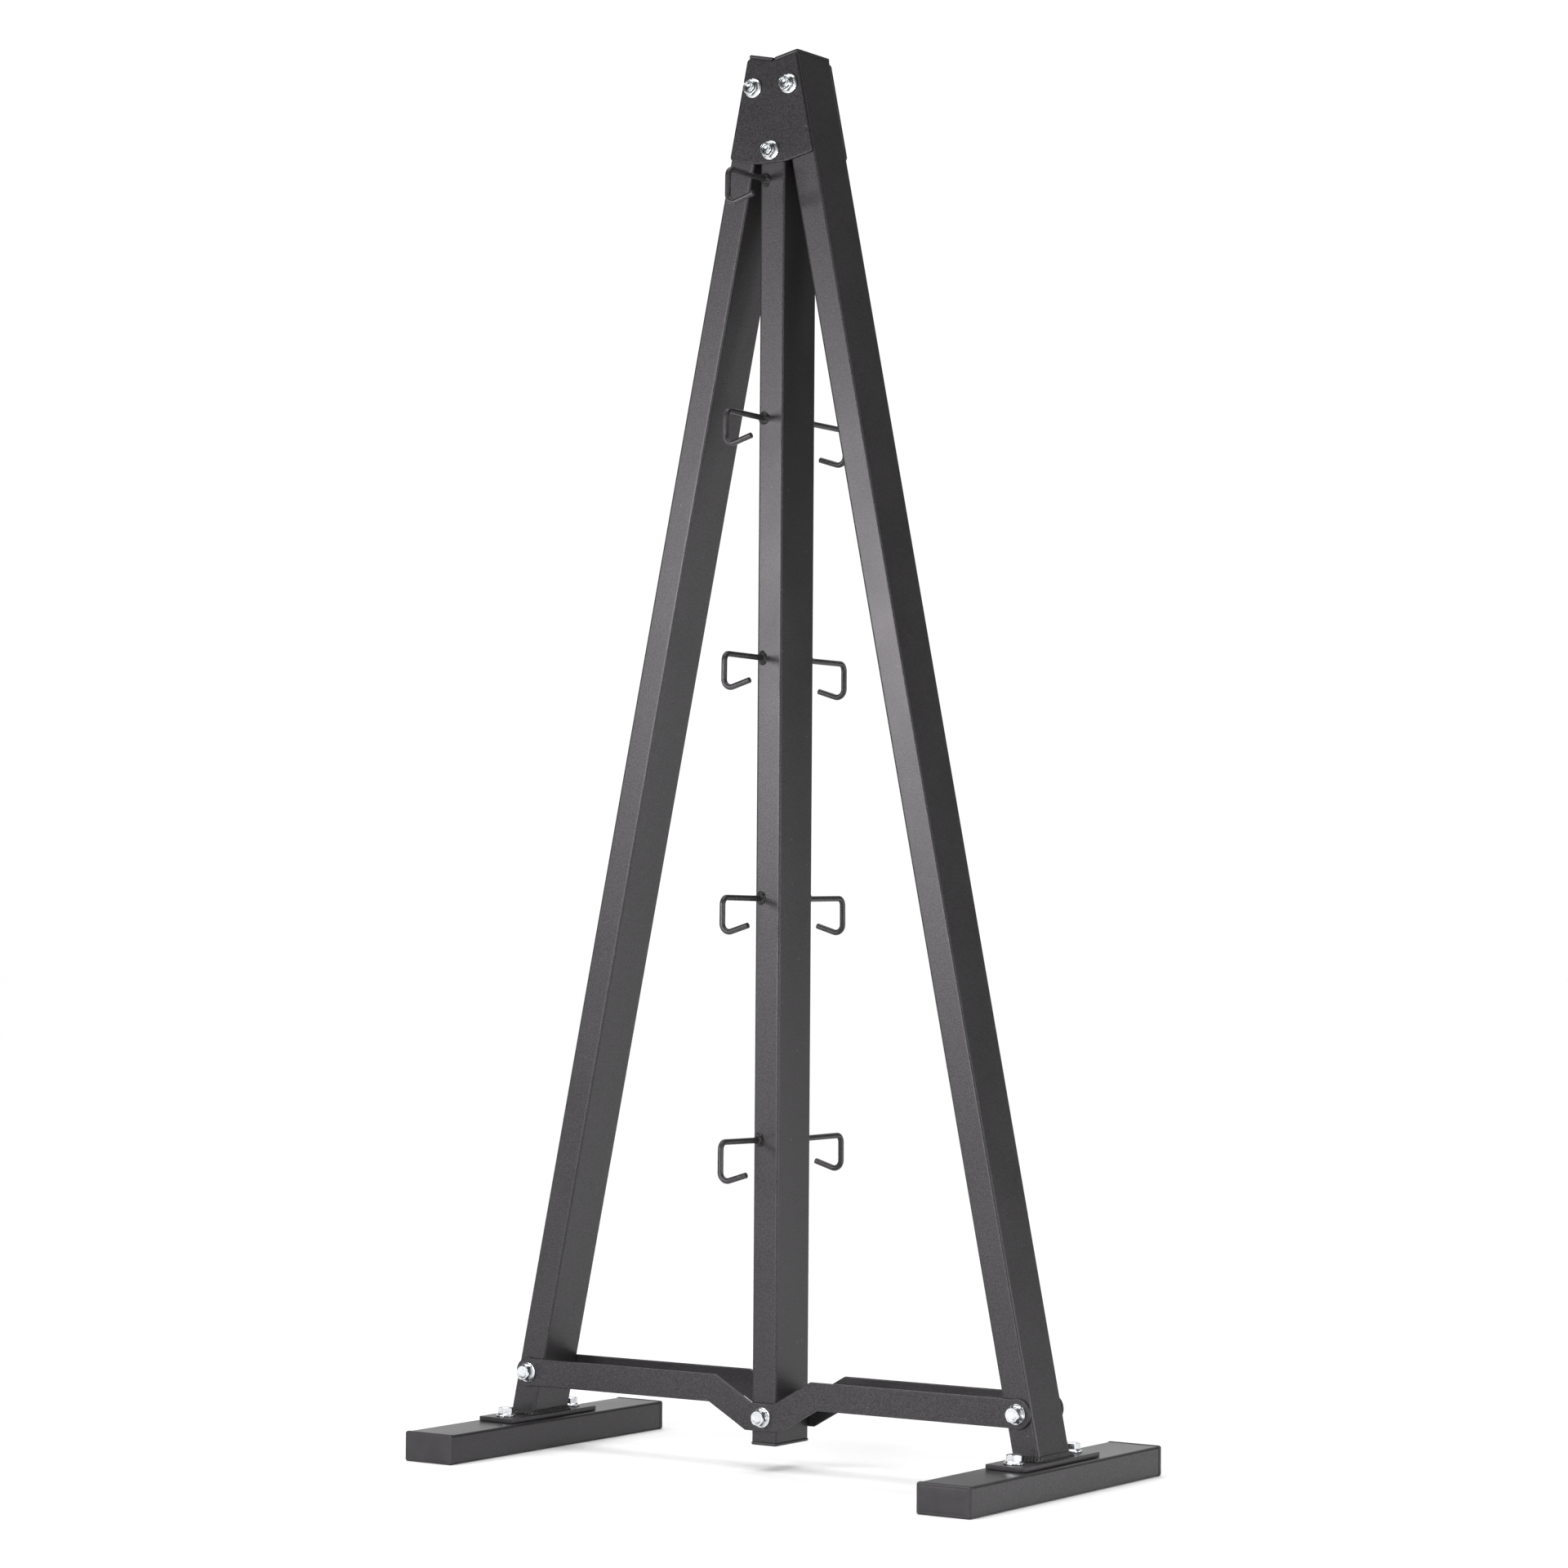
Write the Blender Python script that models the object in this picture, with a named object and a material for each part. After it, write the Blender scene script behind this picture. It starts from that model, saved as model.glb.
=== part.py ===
"""A-frame steel hook stand: two splayed legs, a centre post, ten rod hooks and two long feet.

Metres, +Z up.  The origin is on the floor, under the middle of the stand.
X runs from one foot to the other, and the feet lie along Y.  The front is -Y.
"""

import math

import bmesh
import bpy
from mathutils import Matrix, Vector

# ---- driving dimensions (metres) -------------------------------------------------------------

FIT_GAP = 0.0003            # clearance left between pieces that touch on the real stand

# Rectangular steel tube, used for the post, the legs and the feet
TUBE_NARROW = 0.0304
TUBE_WIDE = 0.0608
TUBE_WALL = 0.002
TUBE_CORNER = 0.0028        # outer corner radius

# Main layout
LEG_TOP_BOLT_X = 0.0223     # half the distance between the two top leg bolts
LEG_TOP_BOLT_Z = 1.4348
LEG_LOW_BOLT_X = 0.3040     # half the distance between the two lower leg bolts
LEG_LOW_BOLT_Z = 0.0816
POST_TOP_Z = 1.3905         # top of the post's upper cap
POST_BOTTOM_Z = 0.0263      # underside of the post's lower cap
POST_TOP_BOLT_Z = 1.3676
POST_LOW_BOLT_Z = 0.0558
LEG_END_ABOVE_BOLT = 0.0308  # from the top bolt to the cut end, measured along the leg

# Feet
FOOT_LENGTH = 0.376         # over both end caps
FOOT_CENTER_X = 0.315
FOOT_CAP_FLANGE = 0.0050
FOOT_CAP_MARGIN = 0.0005    # how far the cap's flange stands proud of the tube

# Plug caps
CAP_FLANGE = 0.0030
LEG_CAP_FLANGE = 0.0035
LEG_CAP_MARGIN = 0.0003
POST_CAP_MARGIN = 0.0006
PLUG_LENGTH = 0.014
PLUG_WALL = 0.002
CAP_EDGE = 0.0010           # rounding of a cap flange's rim
CAP_SHOULDER = 0.0003       # the rounding's first, flatter step

# Welded base plates between leg and foot
BASE_PLATE_X = 0.045
BASE_PLATE_Y = 0.148
BASE_PLATE_T = 0.005
BASE_BOLT_Y = 0.057
WELD_LEG = 0.0050           # leg length of the fillet weld round the tube
WELD_CREST = (0.0031, 0.0027)  # the bead's bulge: out from the tube's face, and up
BASE_PLATE_CORNER = 0.001

# Flat sheet parts: top plates and cross bars
SHEET_T = 0.003
TOP_PLATE_INSET = 0.0010    # from the leg's outer edge to the plate's edge
TOP_PLATE_ABOVE_BOLT = 0.0298
TOP_PLATE_BELOW_BOLT = 0.0778
TOP_PLATE_BOTTOM_Z = 1.3543
TOP_PLATE_CORNER = 0.0045
BAR_WIDTH = 0.0288
BAR_END_RADIUS = 0.0153     # the round ends are a little wider than the bar
BAR_FLAT_X = 0.0176         # half length of the low middle part, on the centre line
BAR_BEND_X = 0.0631         # where the slope meets the straight outer part
BAR_CORNER = 0.003

# Hooks: each rod runs out from the post, bends down, then turns sideways into a rising cradle
ROD_D = 0.006
HOOK_COUNT = 5              # on each side of the post
HOOK_TOP_Z = 1.3380
HOOK_PITCH = 0.2495
HOOK_OFFSET_X = 0.0080      # front hooks sit at -X, rear hooks at +X
HOOK_REACH = 0.0722         # post face to the outside of the rod
HOOK_DROP = 0.0410          # overall height
HOOK_TOP_BEND = 0.0075      # bend radii on the rod's centre line
HOOK_LOW_BEND = 0.0085
CRADLE_LENGTH = 0.0320      # sideways, from the hanging part's centre line to the free end
CRADLE_RISE = math.radians(17.0)
# Each rod was bent and welded by hand, so the hooks differ a little from each other
FRONT_LEAN = (0.5, 1.2, 0.7, 0.5, 0.6)          # degrees; positive lifts the outer end
REAR_LEAN = (0.0, -0.5, 0.2, 0.9, 0.4)
FRONT_EXTRA_DROP = (0.0, 0.0, 0.0, 0.0, 0.004)
REAR_EXTRA_DROP = (0.0, 0.001, 0.0, 0.001, 0.0)
WELD_BEAD_X = 0.0130
WELD_BEAD_Z = 0.0160
WELD_BEAD_H = 0.0045

# M10 flange bolts and nuts
BOLT_D = 0.0100
BOLT_HOLE_D = 0.0112
NUT_BORE_D = 0.0106
FLANGE_D = 0.0208
FLANGE_EDGE_T = 0.0012      # thickness at the flange's rim
FLANGE_TOP_T = 0.0032       # height where the flange meets the hexagon
HEX_AF = 0.0150             # across flats
HEX_CHAMFER = 0.0012        # height of the chamfer on top of the hexagon
BOLT_TIP_CHAMFER = 0.001
HEAD_H = 0.0092
NUT_H = 0.0100
BOLT_PAST_NUT = 0.0004
FOOT_BOLT_LENGTH = 0.0190

HOLE_CUTTER_HALF = 0.045    # half length of the tool that cuts a bolt hole

# Edges sharper than this stay sharp in the shading
TUBE_SMOOTH = math.radians(30)
BOLT_SMOOTH = math.radians(35)
ROD_SMOOTH = math.radians(40)
WELD_SMOOTH = math.radians(60)

# Segments
ARC_SEGMENTS = 4            # in each quarter-round corner
ROUND_SEGMENTS = 24         # a multiple of six, so that a hexagon keeps its corners
ROD_SEGMENTS = 12
BEND_SEGMENTS = 5
BEAD_SEGMENTS = 5           # steps up the side of a hook's weld bead

# ---- derived layout ----------------------------------------------------------------------------

LEG_RUN = LEG_LOW_BOLT_X - LEG_TOP_BOLT_X
LEG_RISE = LEG_TOP_BOLT_Z - LEG_LOW_BOLT_Z
LEG_TILT = math.atan2(LEG_RUN, LEG_RISE)
FOOT_TUBE_BOTTOM_Z = FOOT_CAP_MARGIN
FOOT_TUBE_TOP_Z = FOOT_TUBE_BOTTOM_Z + TUBE_NARROW
BASE_PLATE_BOTTOM_Z = FOOT_TUBE_TOP_Z + FIT_GAP
BASE_PLATE_TOP_Z = BASE_PLATE_BOTTOM_Z + BASE_PLATE_T
LEG_BOTTOM_Z = BASE_PLATE_TOP_Z + FIT_GAP
SHEET_INNER_Y = TUBE_WIDE / 2 + FIT_GAP
SHEET_OUTER_Y = SHEET_INNER_Y + SHEET_T
FASTENER_SEAT_Y = SHEET_OUTER_Y + FIT_GAP

SIDES = (("left", -1), ("right", 1))
FACES = (("front", -1), ("rear", 1))

# ---- materials ---------------------------------------------------------------------------------

POWDER_COAT = ((0.022, 0.021, 0.022), 0.55, 0.0)
WELD_PAINT = ((0.016, 0.015, 0.016), 0.40, 0.0)
CAP_PLASTIC = ((0.018, 0.018, 0.018), 0.50, 0.0)
ZINC_PLATE = ((0.72, 0.73, 0.75), 0.25, 1.0)


def make_material(name, look):
    color, roughness, metallic = look
    material = bpy.data.materials.new(name)
    material.use_nodes = True
    shader = material.node_tree.nodes["Principled BSDF"]
    shader.inputs["Base Color"].default_value = (*color, 1.0)
    shader.inputs["Roughness"].default_value = roughness
    shader.inputs["Metallic"].default_value = metallic
    material.diffuse_color = (*color, 1.0)
    return material


# ---- scene helpers -----------------------------------------------------------------------------

def clear_scene():
    for existing in list(bpy.data.objects):
        bpy.data.objects.remove(existing, do_unlink=True)


def add_object(name, bm, look, smooth_angle=None):
    """Turn a bmesh into one named object with its own material."""
    bmesh.ops.remove_doubles(bm, verts=bm.verts, dist=1e-7)
    bmesh.ops.recalc_face_normals(bm, faces=bm.faces)
    mesh = bpy.data.meshes.new(name)
    bm.to_mesh(mesh)
    bm.free()
    piece = bpy.data.objects.new(name, mesh)
    bpy.context.scene.collection.objects.link(piece)
    mesh.materials.append(make_material(f"{name}_material", look))
    if smooth_angle is not None:
        mesh.shade_smooth()
        mesh.set_sharp_from_angle(angle=smooth_angle)
    return piece


def boolean(target, cutter, operation):
    """Apply one exact Boolean to the target's mesh and drop the tool object."""
    cutter.hide_render = True
    cutter.display_type = "WIRE"
    modifier = target.modifiers.new("shape", "BOOLEAN")
    modifier.operation = operation
    modifier.solver = "EXACT"
    modifier.object = cutter
    graph = bpy.context.evaluated_depsgraph_get()
    result = bpy.data.meshes.new_from_object(target.evaluated_get(graph))
    target.modifiers.clear()
    old_mesh = target.data
    name = old_mesh.name
    target.data = result
    bpy.data.meshes.remove(old_mesh)
    result.name = name
    bpy.data.objects.remove(cutter, do_unlink=True)


# ---- outlines ----------------------------------------------------------------------------------

def rounded_rect(half_x, half_y, radius):
    """Closed counter-clockwise outline of a rectangle with round corners."""
    points = []
    corners = ((1, 1), (-1, 1), (-1, -1), (1, -1))
    for quarter, (sign_x, sign_y) in enumerate(corners):
        center = Vector((sign_x * (half_x - radius), sign_y * (half_y - radius)))
        for step in range(ARC_SEGMENTS + 1):
            angle = (quarter + step / ARC_SEGMENTS) * math.pi / 2
            points.append(center + radius * Vector((math.cos(angle), math.sin(angle))))
    return points


def circle(radius, segments=ROUND_SEGMENTS):
    turn = 2 * math.pi / segments
    return [Vector((radius * math.cos(i * turn), radius * math.sin(i * turn))) for i in range(segments)]


def round_corners(points, radii):
    """Replace each corner of a closed polygon by an arc; a radius of 0 keeps it sharp."""
    outline = []
    count = len(points)
    for index, (corner, radius) in enumerate(zip(points, radii)):
        to_last = (points[index - 1] - corner).normalized()
        to_next = (points[(index + 1) % count] - corner).normalized()
        if radius == 0:
            outline.append(corner.copy())
            continue
        half_angle = to_last.angle(to_next) / 2
        setback = radius / math.tan(half_angle)
        center = corner + (to_last + to_next).normalized() * (radius / math.sin(half_angle))
        start = corner + to_last * setback - center
        end = corner + to_next * setback - center
        sweep = start.angle_signed(end)
        for step in range(ARC_SEGMENTS + 1):
            turned = start.copy()
            turned.rotate(Matrix.Rotation(-sweep * step / ARC_SEGMENTS, 2))
            outline.append(center + turned)
    return outline


# ---- solids ------------------------------------------------------------------------------------

def loft(bm, rings, closed_loop=False):
    """Skin a list of equal-length vertex rings; cap the ends unless the rings form a loop."""
    layers = [[bm.verts.new(point) for point in ring] for ring in rings]
    pairs = list(zip(layers, layers[1:]))
    if closed_loop:
        pairs.append((layers[-1], layers[0]))
    for lower, upper in pairs:
        for i in range(len(lower)):
            j = (i + 1) % len(lower)
            bm.faces.new((lower[i], lower[j], upper[j], upper[i]))
    if not closed_loop:
        bm.faces.new(list(reversed(layers[0])))
        bm.faces.new(layers[-1])


def stacked_rings(sections):
    """Rings in the XY plane from (outline, height) pairs."""
    return [[Vector((p.x, p.y, height)) for p in outline] for outline, height in sections]


def tube_bmesh(length):
    """Hollow rectangular tube along +Z from the origin, narrow in X and wide in Y."""
    outer = rounded_rect(TUBE_NARROW / 2, TUBE_WIDE / 2, TUBE_CORNER)
    inner = rounded_rect(
        TUBE_NARROW / 2 - TUBE_WALL, TUBE_WIDE / 2 - TUBE_WALL, TUBE_CORNER - TUBE_WALL
    )
    bm = bmesh.new()
    loft(bm, stacked_rings([(outer, 0), (outer, length), (inner, length), (inner, 0)]), closed_loop=True)
    return bm


def plug_cap_bmesh(flange, margin):
    """Plug cap: the flange lies from z = 0 to z = flange, and the hollow plug hangs below it."""
    half_x = TUBE_NARROW / 2 + margin
    half_y = TUBE_WIDE / 2 + margin
    corner = TUBE_CORNER + margin
    plug_x = TUBE_NARROW / 2 - TUBE_WALL - FIT_GAP
    plug_y = TUBE_WIDE / 2 - TUBE_WALL - FIT_GAP
    plug_corner = TUBE_CORNER - TUBE_WALL
    face = rounded_rect(half_x - CAP_EDGE, half_y - CAP_EDGE, corner - CAP_EDGE)
    shoulder = rounded_rect(half_x - CAP_SHOULDER, half_y - CAP_SHOULDER, corner - CAP_SHOULDER)
    rim = rounded_rect(half_x, half_y, corner)
    plug = rounded_rect(plug_x, plug_y, plug_corner)
    bore = rounded_rect(plug_x - PLUG_WALL, plug_y - PLUG_WALL, plug_corner)
    sections = [
        (bore, 0.0),
        (bore, -PLUG_LENGTH),
        (plug, -PLUG_LENGTH),
        (plug, 0.0),
        (rim, 0.0),
        (rim, flange - CAP_EDGE),
        (shoulder, flange - CAP_SHOULDER),
        (face, flange),
    ]
    bm = bmesh.new()
    loft(bm, stacked_rings(sections))
    return bm


def lathe_bmesh(profile, segments=ROUND_SEGMENTS):
    """Solid of revolution about Z from (radius, height) pairs, both ends capped."""
    bm = bmesh.new()
    loft(bm, stacked_rings([(circle(radius, segments), height) for radius, height in profile]))
    return bm


def hexagon_ring(across_flats, segments=ROUND_SEGMENTS):
    """A hexagon sampled at the same angles as circle()."""
    points = []
    for point in circle(1.0, segments):
        angle = math.atan2(point.y, point.x)
        from_flat = (angle + math.pi / 6) % (math.pi / 3) - math.pi / 6
        points.append(point * (across_flats / 2 / math.cos(from_flat)))
    return points


def hex_with_chamfer(across_flats, cone_radius):
    """Hexagon whose corners are clipped to a cone of the given radius."""
    return [point * min(1.0, cone_radius / point.length) for point in hexagon_ring(across_flats)]


def flange_head_sections(height):
    """Flange, hexagon and top chamfer of a flange bolt head or nut, seated on z = 0."""
    return [
        (circle(FLANGE_D / 2), 0.0),
        (circle(FLANGE_D / 2), FLANGE_EDGE_T),
        (hexagon_ring(HEX_AF), FLANGE_TOP_T),
        (hexagon_ring(HEX_AF), height - HEX_CHAMFER),
        (hex_with_chamfer(HEX_AF, HEX_AF / 2), height),
    ]


def flange_bolt_bmesh(length):
    """Flange bolt: the head is above z = 0 and the shank runs down to -length."""
    tip = BOLT_TIP_CHAMFER
    shank = [
        (circle(BOLT_D / 2 - tip), -length),
        (circle(BOLT_D / 2), -length + tip),
        (circle(BOLT_D / 2), 0.0),
    ]
    bm = bmesh.new()
    loft(bm, stacked_rings(shank + flange_head_sections(HEAD_H)))
    return bm


def flange_nut_bmesh():
    """Flange nut seated on z = 0 with a plain bore."""
    sections = flange_head_sections(NUT_H)
    sections += [(circle(NUT_BORE_D / 2), NUT_H), (circle(NUT_BORE_D / 2), 0.0)]
    bm = bmesh.new()
    loft(bm, stacked_rings(sections), closed_loop=True)
    return bm


def sheet_bmesh(outline, inner_y, outer_y):
    """Flat plate in the XZ plane between two Y values."""
    rings = [[Vector((p.x, y, p.y)) for p in outline] for y in (inner_y, outer_y)]
    bm = bmesh.new()
    loft(bm, rings)
    return bm


def rod_bmesh(path):
    """Round rod swept along a path that starts along Y; the section never twists."""
    rings = []
    across = Vector((1, 0, 0))
    for index, point in enumerate(path):
        before = path[max(index - 1, 0)]
        after = path[min(index + 1, len(path) - 1)]
        along = (after - before).normalized()
        across = (across - along * across.dot(along)).normalized()
        normal = along.cross(across)
        ring = [point + across * p.x + normal * p.y for p in circle(ROD_D / 2, ROD_SEGMENTS)]
        rings.append(ring)
    bm = bmesh.new()
    loft(bm, rings)
    return bm


def along_y(sign, x, y, z):
    """Placement that turns local +Z to sign * Y at the given point."""
    turn = Matrix.Rotation(-sign * math.pi / 2, 4, "X")
    return Matrix.Translation((x, y, z)) @ turn


def drill(target, centers, axis):
    """Cut a bolt hole through the target at each (x, y, z) along Y or Z."""
    for center in centers:
        bm = lathe_bmesh([(BOLT_HOLE_D / 2, -HOLE_CUTTER_HALF), (BOLT_HOLE_D / 2, HOLE_CUTTER_HALF)])
        place = Matrix.Translation(center)
        if axis == "Y":
            place = place @ Matrix.Rotation(math.pi / 2, 4, "X")
        bm.transform(place)
        boolean(target, add_object("hole_cutter", bm, POWDER_COAT), "DIFFERENCE")


# ---- leg coordinates ---------------------------------------------------------------------------

def leg_matrix(side):
    """Leg frame: origin at the top bolt, +Z up the leg, +X outward for the right leg."""
    return Matrix.Translation((side * LEG_TOP_BOLT_X, 0, LEG_TOP_BOLT_Z)) @ Matrix.Rotation(
        -side * LEG_TILT, 4, "Y"
    )


def leg_point(side, outward, along):
    """World (x, z) of a point given outward and along the leg from its top bolt."""
    point = leg_matrix(side) @ Vector((side * outward, 0, along))
    return Vector((point.x, point.z))


def leg_axis_x(z):
    """Distance of a leg's centre line from the post's centre line at height z."""
    return LEG_TOP_BOLT_X + (LEG_TOP_BOLT_Z - z) * math.tan(LEG_TILT)


# ---- pieces ------------------------------------------------------------------------------------

def build_post():
    bottom = POST_BOTTOM_Z + CAP_FLANGE + FIT_GAP
    top = POST_TOP_Z - CAP_FLANGE - FIT_GAP
    bm = tube_bmesh(top - bottom)
    bm.transform(Matrix.Translation((0, 0, bottom)))
    post = add_object("center_post", bm, POWDER_COAT, TUBE_SMOOTH)
    drill(post, [(0, 0, POST_TOP_BOLT_Z), (0, 0, POST_LOW_BOLT_Z)], "Y")

    cap = plug_cap_bmesh(CAP_FLANGE, POST_CAP_MARGIN)
    cap.transform(Matrix.Translation((0, 0, POST_BOTTOM_Z + CAP_FLANGE)) @ Matrix.Rotation(math.pi, 4, "X"))
    add_object("post_bottom_cap", cap, CAP_PLASTIC, TUBE_SMOOTH)

    cap = plug_cap_bmesh(CAP_FLANGE, 0.0)
    cap.transform(Matrix.Translation((0, 0, POST_TOP_Z - CAP_FLANGE)))
    add_object("post_top_cap", cap, CAP_PLASTIC, TUBE_SMOOTH)


def build_leg(name, side):
    place = leg_matrix(side)
    # Half a tube's width longer than the leg, so that the level cut takes the whole end off
    length = LEG_END_ABOVE_BOLT + (LEG_TOP_BOLT_Z - LEG_BOTTOM_Z) / math.cos(LEG_TILT) + TUBE_NARROW / 2
    bm = tube_bmesh(length)
    bm.transform(place @ Matrix.Translation((0, 0, LEG_END_ABOVE_BOLT - length)))
    # The lower end is cut level so that the leg stands square on its base plate
    whole = bm.verts[:] + bm.edges[:] + bm.faces[:]
    cut = bmesh.ops.bisect_plane(
        bm, geom=whole, plane_co=(0, 0, LEG_BOTTOM_Z), plane_no=(0, 0, -1), clear_outer=True
    )
    cut_edges = [item for item in cut["geom_cut"] if isinstance(item, bmesh.types.BMEdge)]
    bmesh.ops.bridge_loops(bm, edges=cut_edges)
    leg = add_object(f"{name}_leg", bm, POWDER_COAT, TUBE_SMOOTH)
    bolt_x = side * LEG_LOW_BOLT_X
    drill(leg, [(side * LEG_TOP_BOLT_X, 0, LEG_TOP_BOLT_Z), (bolt_x, 0, LEG_LOW_BOLT_Z)], "Y")

    cap = plug_cap_bmesh(LEG_CAP_FLANGE, LEG_CAP_MARGIN)
    cap.transform(place @ Matrix.Translation((0, 0, LEG_END_ABOVE_BOLT + FIT_GAP)))
    add_object(f"{name}_leg_top_cap", cap, CAP_PLASTIC, TUBE_SMOOTH)

    build_leg_weld(name, side)


def build_leg_weld(name, side):
    """Fillet weld bead that runs round the leg where it meets the base plate."""
    stretch = 1 / math.cos(LEG_TILT)
    sections = []
    # (distance from the tube's face, height) round the bead's section
    profile = [(FIT_GAP, 0.0), (WELD_LEG, 0.0), WELD_CREST, (FIT_GAP, WELD_LEG)]
    for offset, height in profile:
        outline = rounded_rect(
            TUBE_NARROW / 2 * stretch + offset, TUBE_WIDE / 2 + offset, TUBE_CORNER + offset
        )
        z = BASE_PLATE_TOP_Z + FIT_GAP + height
        center_x = side * leg_axis_x(z)
        sections.append([Vector((p.x + center_x, p.y, z)) for p in outline])
    bm = bmesh.new()
    loft(bm, sections, closed_loop=True)
    add_object(f"{name}_leg_weld", bm, WELD_PAINT, WELD_SMOOTH)


def build_foot(name, side):
    x = side * FOOT_CENTER_X
    z = FOOT_TUBE_BOTTOM_Z + TUBE_NARROW / 2
    tube_half = FOOT_LENGTH / 2 - FOOT_CAP_FLANGE - FIT_GAP
    # The tube lies along Y with its wide side flat on the floor
    lay_down = Matrix.Rotation(math.pi / 2, 4, "Z")
    bm = tube_bmesh(2 * tube_half)
    bm.transform(along_y(1, x, -tube_half, z) @ lay_down)
    foot = add_object(f"{name}_foot_tube", bm, POWDER_COAT, TUBE_SMOOTH)
    bolt_places = [(x, sign * BASE_BOLT_Y) for _, sign in FACES]
    # The holes go through the upper wall only: the tool ends halfway down the tube
    drill(foot, [(bx, by, z + HOLE_CUTTER_HALF) for bx, by in bolt_places], "Z")

    for face, sign in FACES:
        cap = plug_cap_bmesh(FOOT_CAP_FLANGE, FOOT_CAP_MARGIN)
        cap.transform(along_y(sign, x, sign * (tube_half + FIT_GAP), z) @ lay_down)
        add_object(f"{name}_foot_{face}_cap", cap, CAP_PLASTIC, TUBE_SMOOTH)

    half_x = BASE_PLATE_X / 2
    half_y = BASE_PLATE_Y / 2
    corners = ((half_x, half_y), (-half_x, half_y), (-half_x, -half_y), (half_x, -half_y))
    outline = [Vector(corner) for corner in corners]
    outline = round_corners(outline, [BASE_PLATE_CORNER] * 4)
    bm = bmesh.new()
    loft(bm, stacked_rings([(outline, BASE_PLATE_BOTTOM_Z), (outline, BASE_PLATE_TOP_Z)]))
    bm.transform(Matrix.Translation((x, 0, 0)))
    plate = add_object(f"{name}_base_plate", bm, POWDER_COAT)
    drill(plate, [(bx, by, BASE_PLATE_TOP_Z) for bx, by in bolt_places], "Z")

    for (face, _), (bx, by) in zip(FACES, bolt_places):
        bolt = flange_bolt_bmesh(FOOT_BOLT_LENGTH)
        bolt.transform(Matrix.Translation((bx, by, BASE_PLATE_TOP_Z + FIT_GAP)) @ lay_down)
        add_object(f"{name}_foot_{face}_bolt", bolt, ZINC_PLATE, BOLT_SMOOTH)
        nut = flange_nut_bmesh()
        nut_seat_z = FOOT_TUBE_TOP_Z - TUBE_WALL - FIT_GAP
        nut.transform(Matrix.Translation((bx, by, nut_seat_z)) @ Matrix.Rotation(math.pi, 4, "X"))
        add_object(f"{name}_foot_{face}_nut", nut, ZINC_PLATE, BOLT_SMOOTH)


def top_plate_outline():
    """Plate that follows both legs: V notch on top, straight middle and sloped wings below."""
    edge = TUBE_NARROW / 2 - TOP_PLATE_INSET
    upper_right = leg_point(1, edge, TOP_PLATE_ABOVE_BOLT)
    lower_right = leg_point(1, edge, -TOP_PLATE_BELOW_BOLT)
    slope = math.tan(LEG_TILT)
    notch = Vector((0, upper_right.y - upper_right.x * slope))
    # The sloped lower edge falls toward the middle until it meets the level part
    level_x = lower_right.x - (lower_right.y - TOP_PLATE_BOTTOM_Z) / slope
    right_half = [Vector((level_x, TOP_PLATE_BOTTOM_Z)), lower_right, upper_right]
    left_half = [Vector((-p.x, p.y)) for p in reversed(right_half)]
    radii = [TOP_PLATE_CORNER] * 3 + [0] + [TOP_PLATE_CORNER] * 3
    return round_corners(right_half + [notch] + left_half, radii)


def cross_bar_outline():
    """Bar with round ends at the leg bolts and a dipped middle at the post bolt."""
    half = BAR_WIDTH / 2
    slope = (LEG_LOW_BOLT_Z - POST_LOW_BOLT_Z) / (BAR_BEND_X - BAR_FLAT_X)
    # The two edges of a bent strip turn at points shifted by half the bend angle
    shift = half * math.tan(math.atan(slope) / 2)
    lower = [
        Vector((BAR_FLAT_X + shift, POST_LOW_BOLT_Z - half)),
        Vector((BAR_BEND_X + shift, LEG_LOW_BOLT_Z - half)),
    ]
    upper = [
        Vector((BAR_BEND_X - shift, LEG_LOW_BOLT_Z + half)),
        Vector((BAR_FLAT_X - shift, POST_LOW_BOLT_Z + half)),
    ]
    # The round end starts where its circle crosses the bar's straight edges
    end_angle = math.pi - math.asin(half / BAR_END_RADIUS)
    steps = 4 * ARC_SEGMENTS
    end = []
    for step in range(steps + 1):
        angle = end_angle * (2 * step / steps - 1)
        offset = BAR_END_RADIUS * Vector((math.cos(angle), math.sin(angle)))
        end.append(Vector((LEG_LOW_BOLT_X, LEG_LOW_BOLT_Z)) + offset)
    right_half = lower + end + upper
    left_half = [Vector((-p.x, p.y)) for p in reversed(right_half)]
    half_radii = [BAR_CORNER] * 2 + [0] * len(end) + [BAR_CORNER] * 2
    return round_corners(right_half + left_half, half_radii + half_radii)


def build_sheet_parts():
    leg_bolts = [(side * LEG_LOW_BOLT_X, LEG_LOW_BOLT_Z) for _, side in SIDES]
    top_bolts = [(side * LEG_TOP_BOLT_X, LEG_TOP_BOLT_Z) for _, side in SIDES]
    parts = (
        ("top_plate", top_plate_outline(), top_bolts + [(0, POST_TOP_BOLT_Z)]),
        ("cross_bar", cross_bar_outline(), leg_bolts + [(0, POST_LOW_BOLT_Z)]),
    )
    for face, sign in FACES:
        for part, outline, bolts in parts:
            bm = sheet_bmesh(outline, sign * SHEET_INNER_Y, sign * SHEET_OUTER_Y)
            sheet = add_object(f"{face}_{part}", bm, POWDER_COAT)
            drill(sheet, [(x, sign * SHEET_INNER_Y, z) for x, z in bolts], "Y")


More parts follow.
